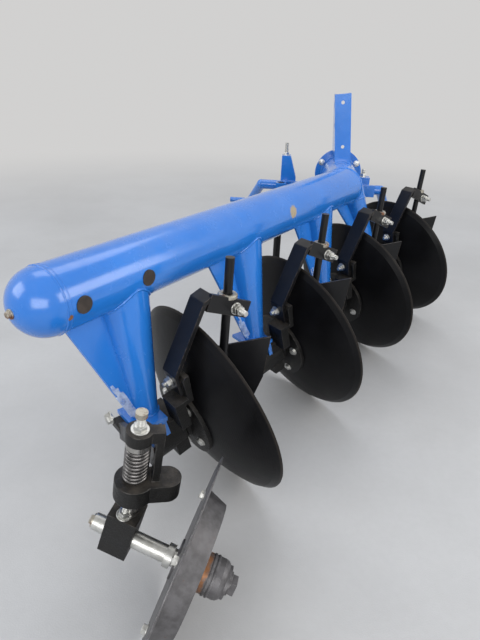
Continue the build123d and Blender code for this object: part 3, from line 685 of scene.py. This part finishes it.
def prism_form(sides, across, low, high):
    """Nut or head with its upper edges taken off."""
    bm = bmesh.new()
    radius = across / 2 / cos(pi / sides)
    bmesh.ops.create_cone(
        bm, cap_ends=True, segments=sides, radius1=radius, radius2=radius, depth=high - low,
        matrix=Matrix.Translation((0, 0, (low + high) / 2)),
    )
    top = [edge for edge in bm.edges if all(vert.co.z > high - TOLERANCE for vert in edge.verts)]
    bmesh.ops.bevel(
        bm, geom=top, offset=min(CORNER_CUT, (high - low) / 4), offset_type="OFFSET",
        segments=2, profile=0.5, affect="EDGES", material=-1,
    )
    return bm


def washer_form(radius, low, high):
    edge = min(WASHER_EDGE, (high - low) / 3)
    profile = [(0, low), (radius, low), (radius, high - edge), (radius - edge, high), (0, high)]
    return turned_form(profile)


def thread_form(radius, low, high):
    profile = [(0, low), (radius, low)]
    for index in range(max(1, int((high - low - THREAD_END) / THREAD_PITCH))):
        base = low + index * THREAD_PITCH
        profile += [
            (radius, base + THREAD_PITCH * 0.3),
            (radius - THREAD_CUT, base + THREAD_PITCH * 0.6),
            (radius, base + THREAD_PITCH * 0.95),
        ]
    profile += [(radius - THREAD_END, high), (0, high)]
    return turned_form(profile, 20)


def ring_form(inner, outer, low, high):
    edge = (outer - inner) * RING_EDGE_SHARE
    profile = [
        (inner, low + edge),
        (inner + edge, low),
        (outer - edge, low),
        (outer, low + edge),
        (outer, high - edge),
        (outer - edge, high),
        (inner + edge, high),
        (inner, high - edge),
    ]
    return turned_form(profile, 32, closed=True)


def join(bm, part, place):
    """Adds a form to a bmesh at its place."""
    bmesh.ops.transform(part, matrix=place, verts=part.verts)
    loose = bpy.data.meshes.new("part")
    part.to_mesh(loose)
    part.free()
    bm.from_mesh(loose)
    bpy.data.meshes.remove(loose)


FORMS = {
    "hex": lambda size, low, high: prism_form(6, size, low, high),
    "square": lambda size, low, high: prism_form(4, size, low, high),
    "washer": washer_form,
    "thread": thread_form,
}


def add_fasteners(name, material, body, stacks):
    """Piece of fasteners, each a place and the forms stacked up there."""
    bm = bmesh.new()
    for place, kinds in stacks:
        for kind, size, low, high in kinds:
            join(bm, FORMS[kind](size, low, high), place)
    piece(name, bm, material, body)


def stack_up(*forms, start=0):
    """Forms of a fastener, from the kind, the size and the top of each."""
    stack = []
    low = start
    for kind, size, high in forms:
        stack.append((kind, size, low, high))
        low = high
    return stack


# Common fastener: shares of its width across flats, and the height of its face
HEAD_SHARE = 0.5
WASHER_SHARE = 0.72
THREAD_SHARE = 0.31
FACE_SHARE = 0.36
FACE_HEIGHT = 0.0008


def bolt_stack(across, head=0.0, tail=0.0, washer=0.0025):
    """Hexagon head on a washer, or a nut on a washer with the thread end through it."""
    high = washer + (head or across * HEAD_SHARE)
    stack = [("washer", across * WASHER_SHARE, 0.0, washer), ("hex", across, washer, high)]
    if tail:
        stack.append(("thread", across * THREAD_SHARE, high, high + tail))
    else:
        stack.append(("washer", across * FACE_SHARE, high, high + FACE_HEIGHT))
    return stack


def bead(bm, path, radius, closed=False):
    """Weld bead: rings bridged along a path, swelling a little at each ripple."""
    rings = []
    count = len(path)
    for index, point in enumerate(path):
        before = path[index - 1] if index or closed else point
        after = path[(index + 1) % count] if index < count - 1 or closed else point
        way = (after - before).normalized()
        swell = BEAD_RIPPLE * sin(index * 2.1) + BEAD_RIPPLE * noise.noise(point * 90)
        matrix = Matrix.Translation(point) @ way.to_track_quat("Z", "Y").to_matrix().to_4x4()
        made = bmesh.ops.create_circle(
            bm, cap_ends=False, segments=BEAD_SIDES, radius=radius * (1 + swell), matrix=matrix
        )
        rings.append(list({edge for vert in made["verts"] for edge in vert.link_edges}))
    pairs = list(zip(rings, rings[1:])) + ([(rings[-1], rings[0])] if closed else [])
    for first, second in pairs:
        bmesh.ops.bridge_loops(bm, edges=first + second)
    if not closed:
        for ring in (rings[0], rings[-1]):
            bmesh.ops.contextual_create(bm, geom=ring)


# Discs and hubs, in the frame of each disc
BACKWARD = (0, 0, -1)
HUB_FLANGE_THICKNESS = 0.012
FLANGE_BACK = BOWL_RADIUS + DISC_THICKNESS + HUB_FLANGE_THICKNESS
HUB_BOLTS = 5
HUB_BOLT_RING = 0.095
# Turn of the hub bolts, and how much more at each disc, in degrees
HUB_BOLT_TURN = 93
HUB_BOLT_TURN_STEP = 37
# Low nuts, since they pass close by the carrier as the disc turns
HUB_NUT = bolt_stack(0.022, head=0.0065, washer=0.0015)
HUB_BOLT_HEAD = stack_up(("washer", 0.014, 0.0016), start=-0.002)
ARM_BOLT = (-0.045, 0.196, -0.118)
FOOT_BOLT_SIDE = 0.036
FOOT_BOLT_UP = 0.082
FOOT_PLATE_BACK = -0.186
CAP_BOLTS = 4
CAP_BOLT_RING = 0.044
CAP_BACK = -0.226
STEM_EYE = (-0.0725, 0.366, 0.1042)
STEM_WAY = (0, 0.317, 0.106)
EYE_INNER = 0.0128
EYE_OUTER = 0.0275
EYE_HALF = 0.007
STEM_NUT = (-0.096, 0.331, 0.106)
STEM_NUT_STACK = stack_up(("washer", 0.0175, 0.0028), ("hex", 0.027, 0.0138))
LOCK_NUT_STACK = stack_up(("hex", 0.024, 0.0235), ("thread", 0.0082, 0.044), start=0.0144)


def bowl_height(radius, out):
    """Height over the rim's plane, away from the axis, of a sphere about the bowl's centre."""
    return sqrt(BOWL_RADIUS ** 2 - DISC_RADIUS ** 2) - sqrt(radius ** 2 - out ** 2)


def add_hub_bolts(number):
    place = disc_frame(number)
    centre = Vector((0, 0, bowl_height(BOWL_RADIUS, 0) + BOWL_RADIUS))
    nuts, heads = [], []
    for index in range(HUB_BOLTS):
        angle = radians(HUB_BOLT_TURN + HUB_BOLT_TURN_STEP * number) + index * tau / HUB_BOLTS
        around = Vector((cos(angle), sin(angle), 0)) * HUB_BOLT_RING
        back = around + UP * bowl_height(FLANGE_BACK, HUB_BOLT_RING)
        nuts.append((seat(place, back, back - centre, index), HUB_NUT))
        face = around + UP * bowl_height(BOWL_RADIUS, HUB_BOLT_RING)
        heads.append((seat(place, face, centre - face, index), HUB_BOLT_HEAD))
    body = f"disc_unit_{number}"
    add_fasteners(f"hub_nuts_{number}", ZINC, body, nuts)
    add_fasteners(f"hub_bolt_heads_{number}", BLACK, body, heads)


def add_carrier_bolts(number):
    """Bolts of the scraper's arm, the foot plate and the bearing cap."""
    place = disc_frame(number)
    arm = [(seat(place, ARM_BOLT, BACKWARD, 0.4), bolt_stack(0.024, tail=0.010))]
    add_fasteners(f"arm_bolt_{number}", ZINC, FRAME_BODY, arm)
    foot = []
    for side in (-FOOT_BOLT_SIDE, FOOT_BOLT_SIDE):
        spot = (side, FOOT_BOLT_UP, FOOT_PLATE_BACK)
        foot.append((seat(place, spot, BACKWARD, side * 9), bolt_stack(0.022, tail=0.006)))
    add_fasteners(f"foot_plate_bolts_{number}", ZINC, FRAME_BODY, foot)
    cap = []
    for index in range(CAP_BOLTS):
        angle = pi / 4 + index * tau / CAP_BOLTS
        spot = (CAP_BOLT_RING * cos(angle), CAP_BOLT_RING * sin(angle), CAP_BACK)
        cap.append((seat(place, spot, BACKWARD, index), bolt_stack(0.016, washer=0.0015)))
    add_fasteners(f"bearing_cap_bolts_{number}", BLACK, FRAME_BODY, cap)


def add_stem_clamp(number):
    """Eye round the scraper's stem, drawn against the clamp plate by a nut with its lock nut."""
    place = disc_frame(number)
    bm = bmesh.new()
    eye = ring_form(EYE_INNER, EYE_OUTER, -EYE_HALF, EYE_HALF)
    join(bm, eye, seat(place, STEM_EYE, STEM_WAY))
    piece(f"stem_eye_{number}", bm, TARNISHED, FRAME_BODY)
    nuts = [(seat(place, STEM_NUT, (-1, 0, 0), 0.3 * number), STEM_NUT_STACK + LOCK_NUT_STACK)]
    add_fasteners(f"stem_nuts_{number}", ZINC, FRAME_BODY, nuts)


# Weld beads, along lines of points
ARC_STEPS = 32
BASE_STEPS = 24
SEARCH_STEPS = 1000
RING_STEPS = 96
MAST_STEPS = 14
# Mast on the stub: half its width, its rear web ahead of the elbow, and how far its sides run
MAST_HALF = 0.037
MAST_WEB_AHEAD = 0.140
MAST_SIDE_LENGTH = 0.1
BASE_BEAD_OUT = 0.001
# Two beads at the dome's seam: ahead of the seam, depth in the tube, radius
DOME_BEADS = ((0.0, 0.0008, 0.0028), (0.011, 0.001, 0.0018))
MITRE_BEAD = 0.0036
STUB_BEAD = 0.005
MAST_BEAD = 0.004
TROUGH_BEAD = 0.0042
BASE_BEAD = 0.0036
WELD_SHARP = 70


def trough_line(number):
    """Where the hanger's shell meets the tube, as a line of points."""
    foot_side, foot_along, foot_radius = TROUGH_FOOT
    top_side, top_along = TROUGH_TOPS[number - 1]
    start = disc_along(number)
    wide = TROUGH_TOP_RADIUS
    points = []
    for step in range(ARC_STEPS + 1):
        angle = -pi / 2 + pi * step / ARC_STEPS
        across, ahead = cos(angle), sin(angle)
        low = Vector((foot_side + foot_radius * across, foot_along + foot_radius * ahead, BASE_TOP))
        high = Vector((top_side + wide * across, top_along + wide * ahead, TROUGH_TOP_HEIGHT))
        for share in range(SEARCH_STEPS + 1):
            spot = low.lerp(high, share / SEARCH_STEPS)
            gap = sqrt((spot.x - BEAM_SIDE) ** 2 + (spot.z - BEAM_HEIGHT) ** 2)
            if gap <= BEAM_RADIUS:
                points.append(row_point(spot.x, start + spot.y, spot.z))
                break
    return points


def arc_ring(centre, across, radius):
    """Upright ring of points about a centre."""
    ring = []
    for step in range(RING_STEPS):
        angle = tau * step / RING_STEPS
        ring.append(centre + (across * cos(angle) + UP * sin(angle)) * radius)
    return ring


def mitre_ring():
    """Line round the tube where its two lengths meet."""
    half = BEAM_ANGLE / 2
    ring = []
    for step in range(RING_STEPS):
        angle = tau * step / RING_STEPS
        side = cos(angle) * BEAM_RADIUS
        spot = ELBOW + BEAM_RIGHT * side + UP * sin(angle) * BEAM_RADIUS
        ring.append(spot + BEAM_AIM * side * sin(half) / cos(half))
    return ring


def mast_foot_line():
    """Line where the mast's rear web and its two side plates stand on the tube."""
    corners = (
        (-MAST_HALF, MAST_SIDE_LENGTH),
        (-MAST_HALF, 0.0),
        (MAST_HALF, 0.0),
        (MAST_HALF, MAST_SIDE_LENGTH),
    )
    path = []
    for (side, ahead), (next_side, next_ahead) in zip(corners, corners[1:]):
        for step in range(MAST_STEPS):
            share = step / MAST_STEPS
            across = side + (next_side - side) * share
            along = MAST_WEB_AHEAD + ahead + (next_ahead - ahead) * share
            path.append(ELBOW + Vector((across, along, sqrt(BEAM_RADIUS ** 2 - across ** 2))))
    return path


def base_line(number):
    """Line where the trough stands on its base plate."""
    side, along, radius = TROUGH_FOOT
    start = disc_along(number) + along
    radius += BASE_BEAD_OUT
    path = []
    for step in range(BASE_STEPS + 1):
        angle = -pi / 2 + pi * step / BASE_STEPS
        spot = (side + radius * cos(angle), start + radius * sin(angle))
        path.append(row_point(*spot, BASE_TOP + BASE_BEAD_OUT))
    return path


def add_welds():
    bm = bmesh.new()
    rear = row_point(BEAM_SIDE, BEAM_REAR, BEAM_HEIGHT)
    for ahead, depth, radius in DOME_BEADS:
        ring = arc_ring(rear + BEAM_AIM * ahead, BEAM_RIGHT, BEAM_RADIUS - depth)
        bead(bm, ring, radius, closed=True)
    bead(bm, mitre_ring(), MITRE_BEAD, closed=True)
    stub_ring = arc_ring(STUB_END - AHEAD * 0.001, Vector((1, 0, 0)), BEAM_RADIUS + 0.002)
    bead(bm, stub_ring, STUB_BEAD, closed=True)
    bead(bm, mast_foot_line(), MAST_BEAD)
    piece("tube_welds", bm, BLUE, FRAME_BODY, WELD_SHARP)
    for number in range(1, DISC_COUNT + 1):
        bm = bmesh.new()
        bead(bm, trough_line(number), TROUGH_BEAD)
        bead(bm, base_line(number), BASE_BEAD)
        piece(f"hanger_welds_{number}", bm, BLUE, FRAME_BODY, WELD_SHARP)


# Tail wheel and its spring-loaded spindle
SCREW_NUT = (0, 0, 0.330)
CLAMP_STUD = (-0.150, -0.016, 0.086)
CLAMP_STUD_FOOT = (-0.147, 0, -0.042)
AXLE_END = (-0.214, 0, 0)
HUB_END = (0, 0, 0.122)
# Bolt of the dark bracket: along the disc's heading, to its side, and up
BRACKET_BOLT = (-0.310, -0.034, 0.370)
RIM_BOLTS = 4
RIM_BOLT_TURN = radians(305)
# Heads and nuts of the rim bolts: radius of their ring, place along the axle, way and stack
RIM_ENDS = (
    (0.150, -0.003, -UP, bolt_stack(0.019)),
    (0.141, 0.012, UP, bolt_stack(0.019, tail=0.005)),
)
# Turned ridges on the hub, and the rounded shoulder of its cap
RIDGE_INNER = 0.0448
RIDGE_OUTER = 0.0472
RIDGES = ((0.074, 0.079), (0.083, 0.088))
SHOULDER = ((0.036, 0.100), (0.045, 0.1025), (0.0435, 0.109), (0.0392, 0.1145), (0.036, 0.116))


def ground_point(along, side, height):
    """Point below the rear hanger, along the disc's heading and to its side."""
    return CENTRING + DISC_HEADING * along + DISC_SIDE * side + UP * height


def add_tail_fasteners():
    nut = stack_up(("washer", 0.019, 0.003), ("hex", 0.025, 0.014))
    thread = stack_up(("thread", 0.0092, 0.034), start=0.014)
    screw = [
        (seat(SPINDLE_FRAME, SCREW_NUT, UP, 0.5), nut),
        (seat(SPINDLE_FRAME, SCREW_NUT, UP), thread),
    ]
    add_fasteners("screw_nut", ZINC, FRAME_BODY, screw)
    stud = [
        (seat(AXLE_FRAME, CLAMP_STUD, UP, 0.2), bolt_stack(0.024, tail=0.022)),
        (seat(AXLE_FRAME, CLAMP_STUD_FOOT, -UP), bolt_stack(0.022)),
    ]
    add_fasteners("axle_clamp_stud", ZINC, FRAME_BODY, stud)
    end_stack = stack_up(("washer", 0.0165, 0.004), ("hex", 0.019, 0.011))
    end = [(seat(AXLE_FRAME, AXLE_END, (-1, 0, 0), 0.3), end_stack)]
    add_fasteners("axle_end_bolt", TARNISHED, FRAME_BODY, end)
    bracket_place = seat(ROW, ground_point(*BRACKET_BOLT), -DISC_HEADING, 0.6)
    bracket = [(bracket_place, bolt_stack(0.026, head=0.011, washer=0.004))]
    add_fasteners("bracket_bolt", ZINC, FRAME_BODY, bracket)
    cap_stack = stack_up(("washer", 0.026, 0.006), ("square", 0.031, 0.021))
    cap = [(seat(SPIN_FRAME, HUB_END, UP, 0.5), cap_stack)]
    add_fasteners("hub_cap_nut", DARK_STEEL, WHEEL_BODY, cap)
    rim = []
    for index in range(RIM_BOLTS):
        angle = RIM_BOLT_TURN + index * tau / RIM_BOLTS
        for ring, along, way, stack in RIM_ENDS:
            spot = (ring * cos(angle), ring * sin(angle), along)
            rim.append((seat(SPIN_FRAME, spot, way, index), stack))
    add_fasteners("wheel_bolts", ZINC, WHEEL_BODY, rim)
    pole = row_point(BEAM_SIDE, BEAM_REAR - BEAM_RADIUS, BEAM_HEIGHT)
    plug_stack = stack_up(("washer", 0.012, 0.0025), ("hex", 0.014, 0.010), start=-0.002)
    plug = [(seat(ROW, pole, -BEAM_AIM, 0.3), plug_stack)]
    add_fasteners("dome_plug", TARNISHED, FRAME_BODY, plug)


def add_hub_collar():
    """Turned ridges and rounded shoulder on the tail wheel's hub."""
    bm = bmesh.new()
    for low, high in RIDGES:
        join(bm, ring_form(RIDGE_INNER, RIDGE_OUTER, low, high), SPIN_FRAME)
    join(bm, turned_form(SHOULDER, 48, closed=True), SPIN_FRAME)
    piece("hub_grooves", bm, DARK_STEEL, WHEEL_BODY)


# Torn wrapping film on the outer edge of each hanger's wing
FILM_SEED = 40
FILM_STRIPS = 4
FILM_STEPS = 25
FILM_ACROSS = (-1, -0.3, 0.4, 1)
FILM_HALF_WIDTH = 0.0045
FILM_WIDTH_CHANGE = 0.003
FILM_THICKNESS = 0.0004
FILM_LIFT = 0.0014
FILM_LAYER = 0.0016
FILM_CREASE = 0.003
FILM_RIPPLE = 0.0024
STRIP_SPACING = 0.006
# Right face of the wing from the trough's edge, and its reach at the foot and how it grows
WING_FACE = 0.0086
WING_REACH = 0.012
WING_GROWTH = 0.12


def wing_point(number, share, inset, out):
    """Point on the wing's right face, inside its outer edge and out from the face."""
    side, along, radius = TROUGH_FOOT
    top_side, top_along = TROUGH_TOPS[number - 1]
    low = Vector((side, along - radius, BASE_TOP))
    high = Vector((top_side, top_along - TROUGH_TOP_RADIUS, TROUGH_TOP_HEIGHT))
    spot = low.lerp(high, share)
    reach = WING_REACH + WING_GROWTH * share - inset
    return row_point(spot.x + WING_FACE + out, disc_along(number) + spot.y - reach, spot.z)


def add_film(number):
    random = Random(FILM_SEED + number)
    bm = bmesh.new()
    for strip in range(FILM_STRIPS):
        start, end = 0.01 + 0.05 * random.random(), 0.20 + 0.15 * random.random()
        rows = []
        for step in range(FILM_STEPS + 1):
            share = start + (end - start) * step / FILM_STEPS
            change = noise.noise(Vector((share * 12, strip, number)))
            width = FILM_HALF_WIDTH + FILM_WIDTH_CHANGE * change
            crease = abs(noise.noise(Vector((share * 60, strip * 3, number))))
            lift = FILM_LAYER * strip + FILM_LIFT + FILM_CREASE * crease
            row = []
            for side in FILM_ACROSS:
                wave = abs(noise.noise(Vector((share * 90, side * 4, strip + number))))
                inset = STRIP_SPACING * strip + side * width
                spot = wing_point(number, share, inset, lift + FILM_RIPPLE * wave)
                row.append(bm.verts.new(spot))
            rows.append(row)
        for near, far in zip(rows, rows[1:]):
            for index in range(len(FILM_ACROSS) - 1):
                bm.faces.new((near[index], near[index + 1], far[index + 1], far[index]))
    bmesh.ops.solidify(bm, geom=bm.faces[:], thickness=FILM_THICKNESS)
    piece(f"wrap_film_{number}", bm, FILM, FRAME_BODY, 60)


# Hitch
FLANGE_BOLTS = 6
FLANGE_BOLT_TURN = 30
FLANGE_BOLT_RING = 0.102
# Heads whose sine is lower than this lie behind the hitch plate
LOWEST_HEAD = -0.4
LEFT_CLAMP_BOLT = 0.022


def clamp_stack(nut_top, end):
    return stack_up(("washer", 0.018, 0.003), ("hex", 0.026, nut_top), ("thread", 0.009, end))


def add_hitch_fasteners():
    flange = []
    for index in range(FLANGE_BOLTS):
        angle = radians(FLANGE_BOLT_TURN + 360 // FLANGE_BOLTS * index)
        around = Vector((cos(angle), 0, sin(angle))) * FLANGE_BOLT_RING
        place = seat(ROW, STUB_END + around, -AHEAD, index)
        flange.append((place, bolt_stack(0.022, tail=0.006)))
        if sin(angle) > LOWEST_HEAD:
            flange.append((seat(ROW, FLANGE_FACE + around, AHEAD, index), bolt_stack(0.022)))
    add_fasteners("flange_bolts", ZINC, FRAME_BODY, flange)
    low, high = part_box("shaft_clamp_left")
    left = Vector((low.x + LEFT_CLAMP_BOLT, (low.y + high.y) / 2, high.z))
    low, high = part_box("shaft_clamp_right")
    right = Vector(((low.x + high.x) / 2, (low.y + high.y) / 2, high.z))
    clamps = [
        (seat(ROW, left, UP), clamp_stack(0.016, 0.062)),
        (seat(ROW, right, UP), clamp_stack(0.018, 0.04)),
    ]
    add_fasteners("clamp_bolts", ZINC, FRAME_BODY, clamps)


# Floor, light and camera
FLOOR_RADIUS = 26.0
# Distances over which the floor fades into the backdrop
FADE_NEAR = 2.0
FADE_FAR = 7.0
SKY_STRENGTH = 0.95
# Lamps: name, place, aim, size, power and colour
LAMPS = (
    ("roof_light", (-0.8, 1.2, 4.2), (0, 0.2, 0.4), (3.4, 1.6), 36, (1.0, 0.99, 0.97)),
    ("open_side_light", (4.2, -0.6, 2.4), (0, 0, 0.4), (3.0, 2.2), 85, (1.0, 0.98, 0.95)),
    ("left_light", (-3.8, -1.8, 2.8), (0, 0, 0.4), (2.4, 2.0), 50, (0.95, 0.97, 1.0)),
    ("rear_light", (0.4, -4.6, 2.0), (0, 0, 0.5), (3.6, 2.0), 95, (1.0, 1.0, 1.0)),
)
CAMERA_PLACE = Vector((-0.1146, -1.7034, 1.2462))
CAMERA_HEADING = Vector((-0.0915, 0.9958, 0))
CAMERA_PITCH = radians(27.42)
CAMERA_ROLL = radians(-1.97)
CAMERA_LENS = 27.606
SENSOR_HEIGHT = 36.0


def add_floor():
    bm = bmesh.new()
    bmesh.ops.create_circle(bm, cap_ends=True, segments=96, radius=FLOOR_RADIUS)
    mesh = bpy.data.meshes.new("floor")
    bm.to_mesh(mesh)
    bm.free()
    material, tree, shader = finish("pale_concrete")
    drift = placed(tree, DRIFT, Light=FLOOR_LIGHT, Dark=FLOOR_DARK, Scale=0.9)
    fine = ramp_value(tree, noise_value(tree, 40.0, 8.0, 0.7), 0.3, 0.7)
    speck = math_node(tree, "MULTIPLY", fine, 0.12)
    colour = mix_colour(tree, speck, drift.outputs["Color"], FLOOR_SPECK)
    tree.links.new(colour, shader.inputs["Base Color"])
    shader.inputs["Roughness"].default_value = 0.55
    grain = placed(tree, GRAIN, Fine=240.0, Coarse=18.0, Share=1.2)
    bump(tree, shader, grain.outputs["Height"], 0.0005)
    place = add(tree, "ShaderNodeTexCoord").outputs["Object"]
    far = add(tree, "ShaderNodeVectorMath", {"operation": "LENGTH"})
    tree.links.new(place, far.inputs[0])
    glow = add(tree, "ShaderNodeEmission")
    glow.inputs["Color"].default_value = BACKDROP
    blend = add(tree, "ShaderNodeMixShader")
    faded = ramp_value(tree, far.outputs["Value"], FADE_NEAR, FADE_FAR)
    tree.links.new(faded, blend.inputs["Fac"])
    tree.links.new(shader.outputs[0], blend.inputs[1])
    tree.links.new(glow.outputs[0], blend.inputs[2])
    tree.links.new(blend.outputs[0], tree.nodes["Material Output"].inputs["Surface"])
    mesh.materials.append(material)
    floor = bpy.data.objects.new("floor", mesh)
    bpy.context.scene.collection.objects.link(floor)


def add_lamp(name, place, aim, size, power, colour):
    lamp = bpy.data.lights.new(name, "AREA")
    lamp.shape = "RECTANGLE"
    lamp.size, lamp.size_y = size
    lamp.energy = power
    lamp.color = colour
    shown = bpy.data.objects.new(name, lamp)
    bpy.context.scene.collection.objects.link(shown)
    shown.location = place
    shown.rotation_euler = (Vector(aim) - Vector(place)).to_track_quat("-Z", "Y").to_euler()


def add_light():
    for lamp in LAMPS:
        add_lamp(*lamp)
    world = bpy.data.worlds.new("pale_sky")
    bpy.context.scene.world = world
    world.use_nodes = True
    tree = world.node_tree
    sky = tree.nodes["Background"]
    sky.inputs["Strength"].default_value = SKY_STRENGTH
    coords = add(tree, "ShaderNodeTexCoord").outputs["Generated"]
    parts = add(tree, "ShaderNodeSeparateXYZ")
    tree.links.new(coords, parts.inputs[0])
    rise = ramp_value(tree, parts.outputs["Z"], -0.1, 0.8)
    tree.links.new(mix_colour(tree, rise, SKY_LOW, SKY_HIGH), sky.inputs["Color"])
    plain = add(tree, "ShaderNodeBackground")
    plain.inputs["Color"].default_value = BACKDROP
    rays = add(tree, "ShaderNodeLightPath")
    seen = math_node(tree, "ADD", rays.outputs["Is Camera Ray"], rays.outputs["Is Glossy Ray"])
    seen = math_node(tree, "ADD", seen, rays.outputs["Is Transmission Ray"], True)
    mixed = add(tree, "ShaderNodeMixShader")
    tree.links.new(seen, mixed.inputs["Fac"])
    tree.links.new(sky.outputs[0], mixed.inputs[1])
    tree.links.new(plain.outputs[0], mixed.inputs[2])
    tree.links.new(mixed.outputs[0], tree.nodes["World Output"].inputs["Surface"])


def add_camera():
    across = Vector((CAMERA_HEADING.y, -CAMERA_HEADING.x, 0)).normalized()
    ahead = CAMERA_HEADING.normalized()
    look = ahead * cos(CAMERA_PITCH) - UP * sin(CAMERA_PITCH)
    down = -ahead * sin(CAMERA_PITCH) - UP * cos(CAMERA_PITCH)
    right = across * cos(CAMERA_ROLL) + down * sin(CAMERA_ROLL)
    below = -across * sin(CAMERA_ROLL) + down * cos(CAMERA_ROLL)
    turn = Matrix((right, -below, -look)).transposed().to_4x4()
    data = bpy.data.cameras.new("photo_camera")
    data.sensor_fit = "VERTICAL"
    data.sensor_height = SENSOR_HEIGHT
    data.lens = CAMERA_LENS
    camera = bpy.data.objects.new("photo_camera", data)
    bpy.context.scene.collection.objects.link(camera)
    camera.matrix_world = Matrix.Translation(CAMERA_PLACE) @ turn
    bpy.context.scene.camera = camera


finish_nodes()
for number in range(1, DISC_COUNT + 1):
    add_hub_bolts(number)
    add_carrier_bolts(number)
    add_stem_clamp(number)
    add_film(number)
add_welds()
add_tail_fasteners()
add_hub_collar()
add_hitch_fasteners()
add_floor()
add_light()
add_camera()
bpy.context.scene.view_settings.view_transform = "Standard"
